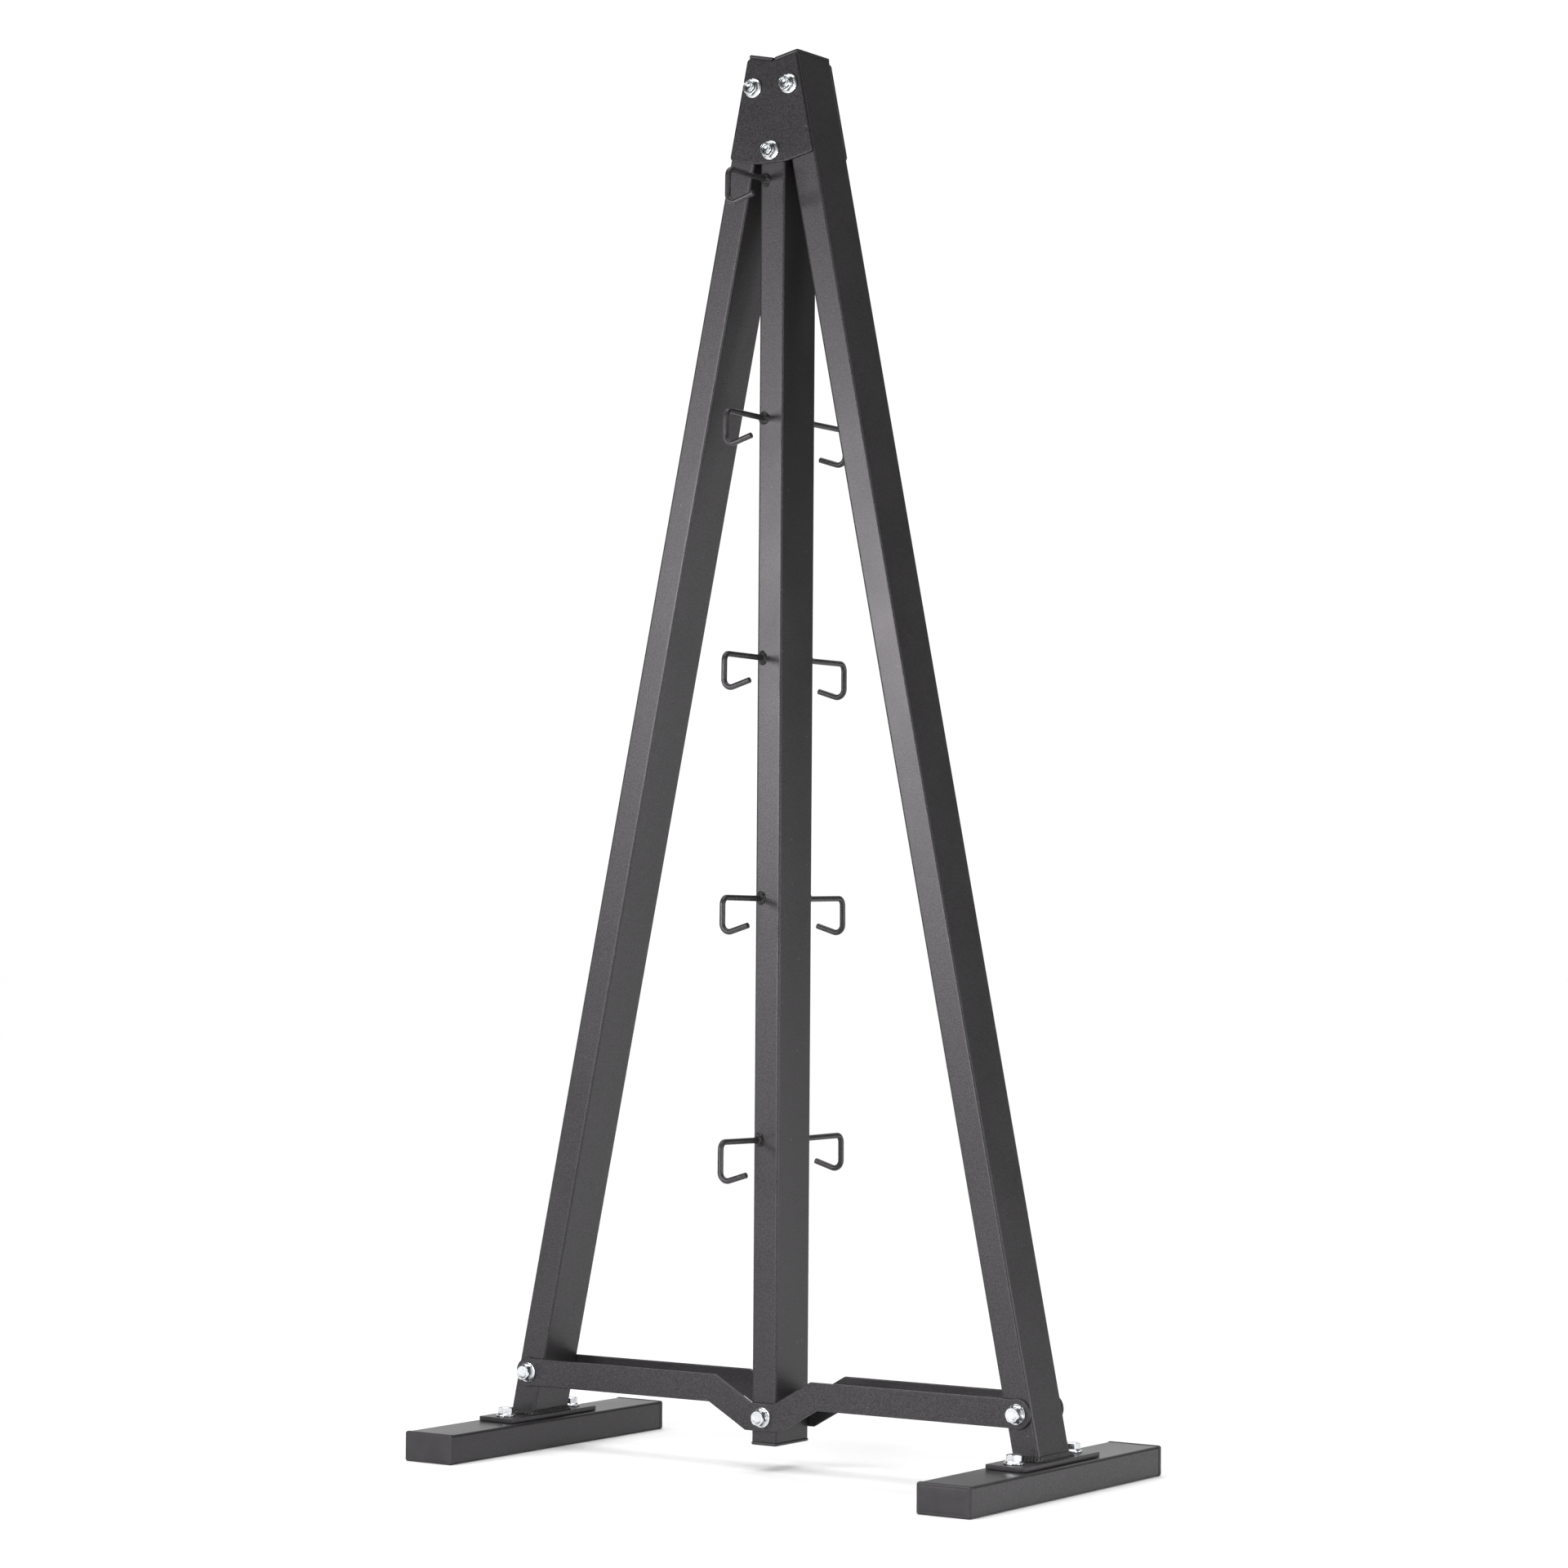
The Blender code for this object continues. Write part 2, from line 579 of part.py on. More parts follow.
def build_through_bolts():
    """Long bolts: the top ones enter from the rear, and the cross bar ones from the front."""
    groups = (
        ("top", 1, LEG_TOP_BOLT_X, LEG_TOP_BOLT_Z, POST_TOP_BOLT_Z),
        ("bar", -1, LEG_LOW_BOLT_X, LEG_LOW_BOLT_Z, POST_LOW_BOLT_Z),
    )
    length = 2 * FASTENER_SEAT_Y + NUT_H + BOLT_PAST_NUT
    for group, head_sign, leg_x, leg_z, post_z in groups:
        places = (("left", -leg_x, leg_z), ("right", leg_x, leg_z), ("post", 0, post_z))
        for place, x, z in places:
            bolt = flange_bolt_bmesh(length)
            bolt.transform(along_y(head_sign, x, head_sign * FASTENER_SEAT_Y, z))
            add_object(f"{group}_{place}_bolt", bolt, ZINC_PLATE, BOLT_SMOOTH)
            nut = flange_nut_bmesh()
            nut.transform(along_y(-head_sign, x, -head_sign * FASTENER_SEAT_Y, z))
            add_object(f"{group}_{place}_nut", nut, ZINC_PLATE, BOLT_SMOOTH)


def bend(center, start, toward, angle):
    """Arc of a bend: starts at center + start and turns toward the second vector."""
    radius = start.length
    points = []
    for step in range(BEND_SEGMENTS + 1):
        turned = angle * step / BEND_SEGMENTS
        points.append(center + start * math.cos(turned) + toward.normalized() * radius * math.sin(turned))
    return points


def hook_path(lean, extra_drop):
    """Centre line of a rear hook: out along +Y, down, then sideways along -X and rising."""
    outer_y = HOOK_REACH - ROD_D / 2
    low_z = -(HOOK_DROP + extra_drop - ROD_D)
    up, out, side = Vector((0, 0, 1)), Vector((0, 1, 0)), Vector((-1, 0, 0))
    top_center = Vector((0, outer_y - HOOK_TOP_BEND, -HOOK_TOP_BEND))
    low_center = Vector((-HOOK_LOW_BEND, outer_y, low_z + HOOK_LOW_BEND))
    path = [Vector((0, FIT_GAP, 0)), Vector((0, 2 * WELD_BEAD_H, 0))]
    path += bend(top_center, up * HOOK_TOP_BEND, out, math.pi / 2)
    path += bend(low_center, -side * HOOK_LOW_BEND, -up, math.pi / 2 + CRADLE_RISE)
    run = CRADLE_LENGTH + path[-1].x
    path.append(path[-1] + side * run + up * run * math.tan(CRADLE_RISE))
    turn = Matrix.Rotation(math.radians(lean), 3, "X")
    root = path[0]
    return [root] + [turn @ (point - root) + root for point in path[1:]]


def weld_bead_bmesh():
    """Low dome round the rod's root, seated just off the post's face, axis along +Y."""
    profile = [(1.0, 0.0)]
    for step in range(1, BEAD_SEGMENTS + 1):
        angle = math.pi / 2 * step / (BEAD_SEGMENTS + 1)
        profile.append((math.cos(angle), math.sin(angle)))
    bm = lathe_bmesh(profile, ROD_SEGMENTS)
    size = Matrix.Diagonal((WELD_BEAD_X / 2, WELD_BEAD_Z / 2, WELD_BEAD_H, 1))
    bm.transform(Matrix.Translation((0, FIT_GAP, 0)) @ Matrix.Rotation(-math.pi / 2, 4, "X") @ size)
    return bm


def build_hooks():
    sets = (("front", -1, FRONT_LEAN, FRONT_EXTRA_DROP), ("rear", 1, REAR_LEAN, REAR_EXTRA_DROP))
    for face, sign, leans, extra_drops in sets:
        for index in range(HOOK_COUNT):
            z = HOOK_TOP_Z - index * HOOK_PITCH
            place = Matrix.Translation((sign * HOOK_OFFSET_X, sign * TUBE_WIDE / 2, z))
            if sign < 0:
                place = place @ Matrix.Rotation(math.pi, 4, "Z")
            rod = rod_bmesh(hook_path(leans[index], extra_drops[index]))
            rod.transform(place)
            hook = add_object(f"{face}_hook_{index + 1}", rod, POWDER_COAT)
            bead = weld_bead_bmesh()
            bead.transform(place)
            boolean(hook, add_object("bead_tool", bead, POWDER_COAT), "UNION")
            hook.data.shade_smooth()
            hook.data.set_sharp_from_angle(angle=ROD_SMOOTH)


def main():
    clear_scene()
    build_post()
    for name, side in SIDES:
        build_leg(name, side)
        build_foot(name, side)
    build_sheet_parts()
    build_through_bolts()
    build_hooks()


main()
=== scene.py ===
"""A-frame hook stand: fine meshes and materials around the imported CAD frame.

Metres, +Z up.  The stand's front is -Y, its feet lie along Y, and X runs from foot to foot.
Places are read from the frame's nodes; the constants below are sections, roundings and looks.
"""
import math
import random

import bpy
from mathutils import Matrix, Vector


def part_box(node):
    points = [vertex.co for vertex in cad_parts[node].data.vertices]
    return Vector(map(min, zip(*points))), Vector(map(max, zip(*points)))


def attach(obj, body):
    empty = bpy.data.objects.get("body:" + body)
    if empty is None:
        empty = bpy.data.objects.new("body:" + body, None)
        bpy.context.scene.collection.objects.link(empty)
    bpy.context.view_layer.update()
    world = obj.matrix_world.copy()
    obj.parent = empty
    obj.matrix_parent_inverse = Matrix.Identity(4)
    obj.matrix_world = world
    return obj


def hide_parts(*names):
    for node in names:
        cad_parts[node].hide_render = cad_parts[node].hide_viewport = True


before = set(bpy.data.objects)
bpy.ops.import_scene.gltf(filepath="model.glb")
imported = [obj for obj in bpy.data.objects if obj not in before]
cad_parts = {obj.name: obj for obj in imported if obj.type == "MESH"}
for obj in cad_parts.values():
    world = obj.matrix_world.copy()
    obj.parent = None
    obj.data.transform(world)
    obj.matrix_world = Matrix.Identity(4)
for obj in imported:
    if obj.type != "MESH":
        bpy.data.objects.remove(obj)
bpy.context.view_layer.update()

# ---- sections and roundings (metres) ----

FIT = 0.0003                # gap that the CAD keeps between touching pieces
TUBE_WALL = 0.0020
TUBE_CORNER = 0.0028        # outer corner radius of the rectangular tube
CORNER_STEPS = 8            # segments in a quarter round
FLAT_MARGIN = 0.0004        # support edge beside each corner, which keeps the flat faces flat
CUT_EDGE = 0.0005           # rounding of a sawn tube end
SHARP_ANGLE = 30.0          # degrees between faces above which an edge is shaded sharp
WELD_SHARP_ANGLE = 70.0
HOOK_SHARP_ANGLE = 50.0

SHEET_EDGE = 0.0009         # rounding that the coating leaves on a plate's cut edge
SHEET_CORNER = 0.0045       # top plates, in outline
BAR_CORNER = 0.0030         # cross bars, in outline
BASE_EDGE = 0.0005

# Outlines of the top plates and the cross bars, as in the CAD part
PLATE_INSET = 0.0010
PLATE_ABOVE_BOLT = 0.0298
PLATE_BELOW_BOLT = 0.0778
BAR_HALF_WIDTH = 0.0144
BAR_END_RADIUS = 0.0153
BAR_FLAT_X = 0.0176
BAR_BEND_X = 0.0631

CAP_EDGE = 0.0016
CAP_SEAM = 0.0007           # bevel of the cap's rim where it meets the tube
CAP_GROOVE = 0.00018        # depth of the line moulded round a cap's face
GROOVE_STARTS = 0.0006      # the line's outer edge, floor and inner edge, from the rounded edge
GROOVE_FLOOR = 0.0013
GROOVE_ENDS = 0.0020
CAP_CROWN = 0.00025         # how far a cap's face swells in the middle
PLUG_LENGTH = 0.0140
PLUG_WALL = 0.0016
PLUG_RIB = 0.00015          # the ribs stand out from the plug's wall by this much
PLUG_RIB_PLACES = (0.8, 0.55, 0.3)      # shares of the plug's length

ROD_RADIUS = 0.0030
ROD_SEGMENTS = 28
ROD_END_EDGE = 0.0004

BOLT_RADIUS = 0.0050
THREAD_PITCH = 0.0015
THREAD_DEPTH = 0.0007
THREAD_LENGTH = 0.0240
HOLE_RADIUS = 0.0056
HOLE_SEGMENTS = 36
HEX_FLAT = 0.0075           # half the width across flats
FLANGE_RADIUS = 0.0104
FLANGE_RIM = 0.0012
FLANGE_SLOPE_TOP = 0.0030
FLANGE_EDGE = 0.0003        # rounding of the flange's rim
CHAMFER_ANGLE = math.radians(30.0)
CHAMFER_END = 0.93          # share of HEX_FLAT where the hexagon's chamfer ends
HEX_SEGMENTS = 72           # round the axis; a multiple of twelve keeps the corners crisp
THREAD_ROWS = 6             # rings in one pitch
TIP_CHAMFER = 0.0024
BOLT_RECESS = 0.0013        # a through bolt's tip lies this far inside its CAD end
COLLAR_RADIUS = 0.0068      # of a lock nut
COLLAR_LIP = 0.0061
COLLAR_START = 0.72         # share of a nut's height where the hexagon ends
COLLAR_FOOT = 0.0002        # the collar spreads by this much where it meets the hexagon
INSERT_DEPTH = 0.0007       # the lock nut's insert lies this far under the collar
INSERT_GAP = 0.0001
BORE_RADIUS = 0.0052
DISH_RADIUS = 0.0052        # shallow dish in a bolt's head
DISH_DEPTH = 0.00018
HEX_CORNER = HEX_FLAT / math.cos(math.pi / 6)
HEX_CORNER_CUT = 0.972      # share of the full corner radius that the hexagon's corners keep

# How far each fastener is turned from its CAD pose, in degrees
HEAD_TWIST = {
    "bar_left": 22.0, "bar_post": 17.0, "bar_right": 21.0,
    "top_left": 8.0, "top_right": 12.0, "top_post": 16.0,
}
FOOT_TWIST = {"left_front": 24.0, "left_rear": 40.0, "right_front": 34.0, "right_rear": 55.0}

WELD_LEG = 0.0048
WELD_RIPPLE = 0.0036        # spacing of the ripples along a weld
WELD_SPACING = 0.00045      # between sections of the bead
WELD_SWEEP = 0.0016         # how far a ripple's middle runs ahead of its ends

# Hooks, as in the CAD part
HOOK_OFFSET_X = 0.0080
HOOK_REACH = 0.0722
HOOK_TOP_BEND = 0.0075
HOOK_LOW_BEND = 0.0085
BEND_STEPS = 14
HOOK_DROP = 0.0410
CRADLE_LENGTH = 0.0320
CRADLE_RISE = math.radians(17.0)
HOOK_BEAD_X = 0.0065        # half sizes of the weld bead at the post
HOOK_BEAD_Z = 0.0080
HOOK_BEAD_H = 0.0045
BEAD_LOBES = 4
# Each hook's lean in degrees and the extra depth of its cradle, from the top down
LEANS = {"front": (0.5, 1.2, 0.7, 0.5, 0.6), "rear": (0.0, -0.5, 0.2, 0.9, 0.4)}
EXTRA_DROPS = {"front": (0.0, 0.0, 0.0, 0.0, 0.004), "rear": (0.0, 0.001, 0.0, 0.001, 0.0)}

# ---- colours, light and camera ----

COAT_DARK = (0.0100, 0.0094, 0.0100)
COAT_LIGHT = (0.0260, 0.0244, 0.0260)
COAT_SPECK = (0.090, 0.084, 0.084)
SAND_RANGE = (0.34, 0.66)   # the parts of a noise's values that are spread over a look's range
CLOUD_RANGE = (0.3, 0.7)
PATCH_RANGE = (0.35, 0.7)
COAT_SHEEN = (1.0, 0.955, 1.0, 1.0)     # tint of the coat's reflections
TUBE_GLOSS = (0.34, 0.58)   # lowest and highest specular level over the grain
PLATE_GLOSS = (0.18, 0.36)
WELD_DARK = (0.0060, 0.0056, 0.0060)
WELD_LIGHT = (0.0140, 0.0130, 0.0138)
PLASTIC_DARK = (0.0100, 0.0095, 0.0100)
PLASTIC_LIGHT = (0.0180, 0.0170, 0.0180)
PLASTIC_SCUFF = (0.055, 0.053, 0.053)
ZINC_DULL = (0.52, 0.55, 0.58)
ZINC_BRIGHT = (0.78, 0.79, 0.79)
NYLON_DARK = (0.04, 0.045, 0.045)
NYLON_LIGHT = (0.09, 0.10, 0.10)
FLOOR_DARK = (0.96, 0.96, 0.96)
FLOOR_LIGHT = (0.975, 0.975, 0.975)
FLOOR_RADII = (0.5, 2.0, 8.0, 40.0)
FLOOR_SEGMENTS = 96

ROOM_STRENGTH = 0.04        # the studio's dim walls
# White backdrops, in degrees: (direction from +X round Z, full within, gone beyond, strength)
BACKDROPS = ((124.0, 25.0, 60.0, 1.02), (-30.0, 18.0, 42.0, 1.00), (180.0, 18.0, 42.0, 0.30))
SKY_STRENGTH = 2.68         # wide soft light from straight above
SKY_ANGLE = math.radians(70.0)
# name: (place, point it faces, width, height, power in watts)
SOFTBOXES = {
    "key": ((-1.15, -2.45, 1.08), (0.15, 0.0, 0.94), 0.85, 0.50, 38.0),
    "edge": ((0.10, -2.75, 0.78), (0.15, 0.0, 0.74), 0.30, 0.80, 35.0),
    "side": ((2.90, -0.20, 0.50), (0.0, 0.0, 0.40), 0.90, 0.80, 22.0),
    "side_low": ((2.60, 1.60, 0.40), (0.0, 0.0, 0.30), 1.00, 0.70, 12.0),
}

CAMERA_PLACE = Vector((2.3343, -3.4596, 0.5686))
CAMERA_TURN = math.radians(34.016)      # round Z, from looking along +Y
CAMERA_PITCH = math.radians(1.927)      # upward
CAMERA_ROLL = math.radians(0.399)
CAMERA_LENS = 92.07
CAMERA_SENSOR = 36.0

BODY = "root"
X_AXIS, Y_AXIS, Z_AXIS = Vector((1, 0, 0)), Vector((0, 1, 0)), Vector((0, 0, 1))
SIDES = ("left", "right")
FACES = (("front", -1), ("rear", 1))
UPSIDE_DOWN = Matrix.Rotation(math.pi, 4, "X")


def z_along_y(sign):
    """Turn that takes local +Z to sign * Y."""
    return Matrix.Rotation(-sign * math.pi / 2, 4, "X")


# ---- places read from the frame ----

def middle(node):
    low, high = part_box(node)
    return (low + high) / 2


def half_size(node):
    low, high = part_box(node)
    return (high - low) / 2


def node_points(node):
    return [vertex.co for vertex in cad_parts[node].data.vertices]


TUBE_HALF_NARROW, TUBE_HALF_WIDE = half_size("center_post").xy


def leg_frame(name):
    """Leg frame: origin at the top bolt, +Z up the leg and +X across it."""
    top = middle(f"top_{name}_bolt")
    low = middle(f"bar_{name}_bolt")
    up = Vector((top.x - low.x, 0, top.z - low.z)).normalized()
    across = Y_AXIS.cross(up)
    rotation = Matrix((across, Y_AXIS, up)).transposed().to_4x4()
    return Matrix.Translation((top.x, 0, top.z)) @ rotation


# ---- materials ----

class Look:
    """A material, or the world, and the nodes under construction in it."""

    def __init__(self, owner):
        owner.use_nodes = True
        self.owner = owner
        self.tree = owner.node_tree

    def node(self, kind, **values):
        """New node; a keyword that names an input sets it, and any other is an attribute."""
        node = self.tree.nodes.new(kind)
        for key, value in values.items():
            if key in node.inputs:
                node.inputs[key].default_value = value
            else:
                setattr(node, key, value)
        return node

    def link(self, source, target):
        self.tree.links.new(source, target)

    def position(self):
        """Places on the object in metres, since every piece's origin is the frame's."""
        return self.node("ShaderNodeTexCoord").outputs["Object"]

    def noise(self, scale, detail=2.0, roughness=0.55, distortion=0.0, vector=None):
        """Noise of about 0 to 1, with scale in cells per metre."""
        node = self.node(
            "ShaderNodeTexNoise", Scale=scale, Detail=detail, Roughness=roughness, Distortion=distortion,
        )
        self.link(vector or self.position(), node.inputs["Vector"])
        return node.outputs["Fac"]

    def remap(self, value, low, high, to_low, to_high, smooth=False):
        node = self.node("ShaderNodeMapRange")
        if smooth:
            node.interpolation_type = "SMOOTHSTEP"
        limits = {"From Min": low, "From Max": high, "To Min": to_low, "To Max": to_high}
        for name, number in limits.items():
            node.inputs[name].default_value = number
        self.link(value, node.inputs["Value"])
        return node.outputs["Result"]

    def mix(self, factor, color_a, color_b):
        """Color A where factor is 0 and color B where it is 1; either may be a socket."""
        node = self.node("ShaderNodeMix", data_type="RGBA")
        for socket, color in zip((node.inputs[6], node.inputs[7]), (color_a, color_b)):
            if isinstance(color, tuple):
                socket.default_value = (*color, 1)
            else:
                self.link(color, socket)
        self.link(factor, node.inputs["Factor"])
        return node.outputs[2]

    def combine(self, operation, first, second):
        node = self.node("ShaderNodeMath", operation=operation)
        for socket, value in zip(node.inputs, (first, second)):
            if isinstance(value, float):
                socket.default_value = value
            else:
                self.link(value, socket)
        return node.outputs["Value"]

    def sparse_specks(self, scale, radius, share):
        """1 on a few small round specks and 0 elsewhere; radius is in cells, share is 0 to 1."""
        cells = self.node("ShaderNodeTexVoronoi", Scale=scale)
        self.link(self.position(), cells.inputs["Vector"])
        inside = self.combine("LESS_THAN", cells.outputs["Distance"], radius)
        split = self.node("ShaderNodeSeparateColor")
        self.link(cells.outputs["Color"], split.inputs["Color"])
        chosen = self.combine("LESS_THAN", split.outputs["Red"], share)
        return self.combine("MULTIPLY", inside, chosen)

    def surface(self, **values):
        """Set sockets of the surface shader, named with _ for a space, to values or by links."""
        inputs = self.tree.nodes["Principled BSDF"].inputs
        for name, value in values.items():
            socket = inputs[name.replace("_", " ")]
            if isinstance(value, bpy.types.NodeSocket):
                self.link(value, socket)
            else:
                socket.default_value = value

    def bump(self, *layers):
        """Chain of bump layers, each (height socket, strength, distance in metres)."""
        normal = None
        for height, strength, distance in layers:
            node = self.node("ShaderNodeBump", Strength=strength, Distance=distance)
            self.link(height, node.inputs["Height"])
            if normal is not None:
                self.link(normal, node.inputs["Normal"])
            normal = node.outputs["Normal"]
        self.surface(Normal=normal)


def new_look(name, base, roughness, metallic=0.0, specular=0.5):
    look = Look(bpy.data.materials.new(name))
    look.surface(Base_Color=(*base, 1), Roughness=roughness, Metallic=metallic)
    look.surface(Specular_IOR_Level=specular)
    return look


def powder_coat(name, gloss):
    """Satin black powder coat: sandy grain, orange peel, slow drift, a few pale specks."""
    look = new_look(name, COAT_DARK, 0.45)
    sand = look.noise(850.0, roughness=0.6)
    peel = look.noise(320.0)
    drift = look.noise(14.0)
    sand_tone = look.remap(sand, *SAND_RANGE, 0.1, 0.9)
    tone = look.combine("ADD", sand_tone, look.remap(drift, *CLOUD_RANGE, -0.06, 0.06))
    base = look.mix(tone, COAT_DARK, COAT_LIGHT)
    specks = look.sparse_specks(70.0, 0.055, 0.10)
    sand_roughness = look.remap(sand, *SAND_RANGE, 0.34, 0.40)
    drift_roughness = look.remap(drift, *CLOUD_RANGE, -0.02, 0.02)
    look.surface(
        Base_Color=look.mix(specks, base, COAT_SPECK),
        Roughness=look.combine("ADD", sand_roughness, drift_roughness),
        Specular_IOR_Level=look.remap(sand, *SAND_RANGE, *gloss),
        Specular_Tint=COAT_SHEEN,
    )
    look.bump((sand, 0.45, 0.00012), (peel, 0.25, 0.00012), (specks, 0.4, 0.0001))
    return look.owner


def weld_coat():
    """The same coat over a weld: darker and glossier, with small pits."""
    look = new_look("weld_coat_black", (0.0085, 0.0080, 0.0085), 0.38, specular=0.4)
    pits = look.noise(900.0, detail=3.0)
    swirl = look.noise(260.0, distortion=0.6)
    look.surface(
        Base_Color=look.mix(look.remap(pits, *PATCH_RANGE, 0.0, 1.0), WELD_DARK, WELD_LIGHT),
        Roughness=look.remap(swirl, *CLOUD_RANGE, 0.30, 0.46),
    )
    look.bump((pits, 0.3, 0.0002), (swirl, 0.35, 0.0004))
    return look.owner


def cap_plastic():
    """Moulded black plastic: even fine texture and faint scuffs."""
    look = new_look("moulded_black_plastic", COAT_LIGHT, 0.46)
    texture = look.noise(1300.0)
    cloud = look.noise(70.0, detail=3.0)
    stretch = look.node("ShaderNodeMapping", Scale=(1.0, 1.0, 9.0), Rotation=(0.0, 0.7, 0.4))
    look.link(look.position(), stretch.inputs["Vector"])
    streaks = look.noise(160.0, roughness=0.5, distortion=1.2, vector=stretch.outputs["Vector"])
    scuffs = look.remap(streaks, 0.66, 0.74, 0.0, 0.5)
    base = look.mix(look.remap(cloud, *CLOUD_RANGE, 0.0, 1.0), PLASTIC_DARK, PLASTIC_LIGHT)
    look.surface(
        Base_Color=look.mix(scuffs, base, PLASTIC_SCUFF),
        Roughness=look.remap(cloud, *CLOUD_RANGE, 0.40, 0.50),
        Specular_Tint=COAT_SHEEN,
    )
    look.bump((texture, 0.30, 0.00010), (scuffs, 0.2, 0.00008))
    return look.owner


def zinc_plate():
    """Bright zinc plating with a slight cold tint, soft cloudiness and fine forging marks."""
    look = new_look("bright_zinc", (0.66, 0.68, 0.70), 0.22, metallic=1.0)
    cloud = look.noise(420.0, detail=4.0, roughness=0.6)
    marks = look.noise(1500.0)
    look.surface(
        Base_Color=look.mix(look.remap(cloud, *PATCH_RANGE, 0.0, 1.0), ZINC_DULL, ZINC_BRIGHT),
        Roughness=look.remap(cloud, *CLOUD_RANGE, 0.17, 0.27),
    )
    look.bump((marks, 0.10, 0.00004), (cloud, 0.10, 0.00008))
    return look.owner


def nylon_ring():
    """Dark grey nylon of a lock nut's insert."""
    look = new_look("grey_nylon", (0.06, 0.07, 0.07), 0.50)
    cloud = look.noise(600.0)
    look.surface(
        Base_Color=look.mix(cloud, NYLON_DARK, NYLON_LIGHT),
        Roughness=look.remap(cloud, *CLOUD_RANGE, 0.42, 0.58),
    )
    look.bump((cloud, 0.2, 0.0001))
    return look.owner


def floor_material():
    look = new_look("pale_floor", FLOOR_LIGHT, 0.75, specular=0.2)
    look.surface(Base_Color=look.mix(look.noise(3.0), FLOOR_DARK, FLOOR_LIGHT))
    return look.owner


COAT = powder_coat("powder_coat_black", TUBE_GLOSS)
PLATE_COAT = powder_coat("powder_coat_duller", PLATE_GLOSS)
WELD = weld_coat()
PLASTIC = cap_plastic()
ZINC = zinc_plate()
NYLON = nylon_ring()
SLOTS = {"powder_coat": COAT, "weld_bead": WELD, "cap_plastic": PLASTIC, "zinc_fastener": ZINC}


# ---- mesh building ----

class Shape:
    """Vertices and faces under construction; looks holds each face's material number."""

    def __init__(self):
        self.points = []
        self.faces = []
        self.looks = []

    def skin(self, rings, loop=False, closed=True, look=0, row_looks=None):
        """Faces between equal rings of points; the ring order gives outward faces.

        A loop joins the last ring to the first; otherwise closed gives both ends a flat face.
        row_looks gives some rows (the first is 0) a material of their own.
        """
        first = len(self.points)
        count = len(rings[0])
        for ring in rings:
            self.points.extend(ring)
        for row in range(len(rings) if loop else len(rings) - 1):
            row_look = (row_looks or {}).get(row, look)
            a = first + row * count
            b = first + (row + 1) % len(rings) * count
            for i in range(count):
                j = (i + 1) % count
                self.add_face((a + i, a + j, b + j, b + i), row_look)
        if closed and not loop:
            last = first + (len(rings) - 1) * count
            self.add_face(tuple(first + i for i in reversed(range(count))), look)
            self.add_face(tuple(last + i for i in range(count)), look)

    def add_face(self, corners, look):
        self.faces.append(corners)
        self.looks.append(look)


def new_object(name, points, faces):
    mesh = bpy.data.meshes.new(name)
    mesh.from_pydata([tuple(point) for point in points], [], faces)
    item = bpy.data.objects.new(name, mesh)
    bpy.context.scene.collection.objects.link(item)
    return item


def add_piece(name, shape, slot, replaced, place=None, sharp=SHARP_ANGLE, main_look=None, extra_looks=()):
    """One finished object: its mesh, its materials (the slot's look unless main_look is given), its body,
    and the CAD nodes it stands for, which it hides.
    """
    points = shape.points
    if place is not None:
        points = [place @ point for point in points]
    piece = new_object(name, points, shape.faces)
    mesh = piece.data
    for look in (main_look or SLOTS[slot], *extra_looks):
        mesh.materials.append(look)
    mesh.polygons.foreach_set("material_index", shape.looks)
    mesh.update()
    mesh.shade_smooth()
    mesh.set_sharp_from_angle(angle=math.radians(sharp))
    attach(piece, BODY)
    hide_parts(*replaced)
    return piece


def cut_holes(piece, centers, axis, half_length):
    """Cut bolt holes of the CAD's size through a finished piece along Y or Z."""
    shape = Shape()
    ring = circle(HOLE_RADIUS, HOLE_SEGMENTS)
    turn = z_along_y(1) if axis == "Y" else Matrix.Identity(4)
    for center in centers:
        place = Matrix.Translation(center) @ turn
        ends = [at_height(ring, z) for z in (-half_length, half_length)]
        shape.skin([[place @ p for p in end] for end in ends])
    tool = new_object("hole_tool", shape.points, shape.faces)
    tool_mesh = tool.data
    modifier = piece.modifiers.new("holes", "BOOLEAN")
    modifier.operation = "DIFFERENCE"
    modifier.solver = "EXACT"
    modifier.object = tool
    graph = bpy.context.evaluated_depsgraph_get()
    result = bpy.data.meshes.new_from_object(piece.evaluated_get(graph))
    piece.modifiers.clear()
    old = piece.data
    result.name = old.name
    piece.data = result
    bpy.data.meshes.remove(old)
    bpy.data.objects.remove(tool, do_unlink=True)
    bpy.data.meshes.remove(tool_mesh)
    result.set_sharp_from_angle(angle=math.radians(SHARP_ANGLE))


def circle(radius, count):
    step = 2 * math.pi / count
    return [Vector((math.cos(i * step), math.sin(i * step))) * radius for i in range(count)]


def rounded_rect(half_x, half_y, radius):
    """Counter-clockwise outline with round corners and a support point on each side of them."""
    points = []
    corners = ((1, 1), (-1, 1), (-1, -1), (1, -1))
    for quarter, (sign_x, sign_y) in enumerate(corners):
        center = Vector((sign_x * (half_x - radius), sign_y * (half_y - radius)))
        start = quarter * math.pi / 2
        before = Vector((math.sin(start), -math.cos(start))) * FLAT_MARGIN
        after = Vector((-math.cos(start), -math.sin(start))) * FLAT_MARGIN
        arc = []
        for step in range(CORNER_STEPS + 1):
            angle = start + step / CORNER_STEPS * math.pi / 2
            arc.append(center + radius * Vector((math.cos(angle), math.sin(angle))))
        points.append(arc[0] + before)
        points.extend(arc)
        points.append(arc[-1] + after)
    return points


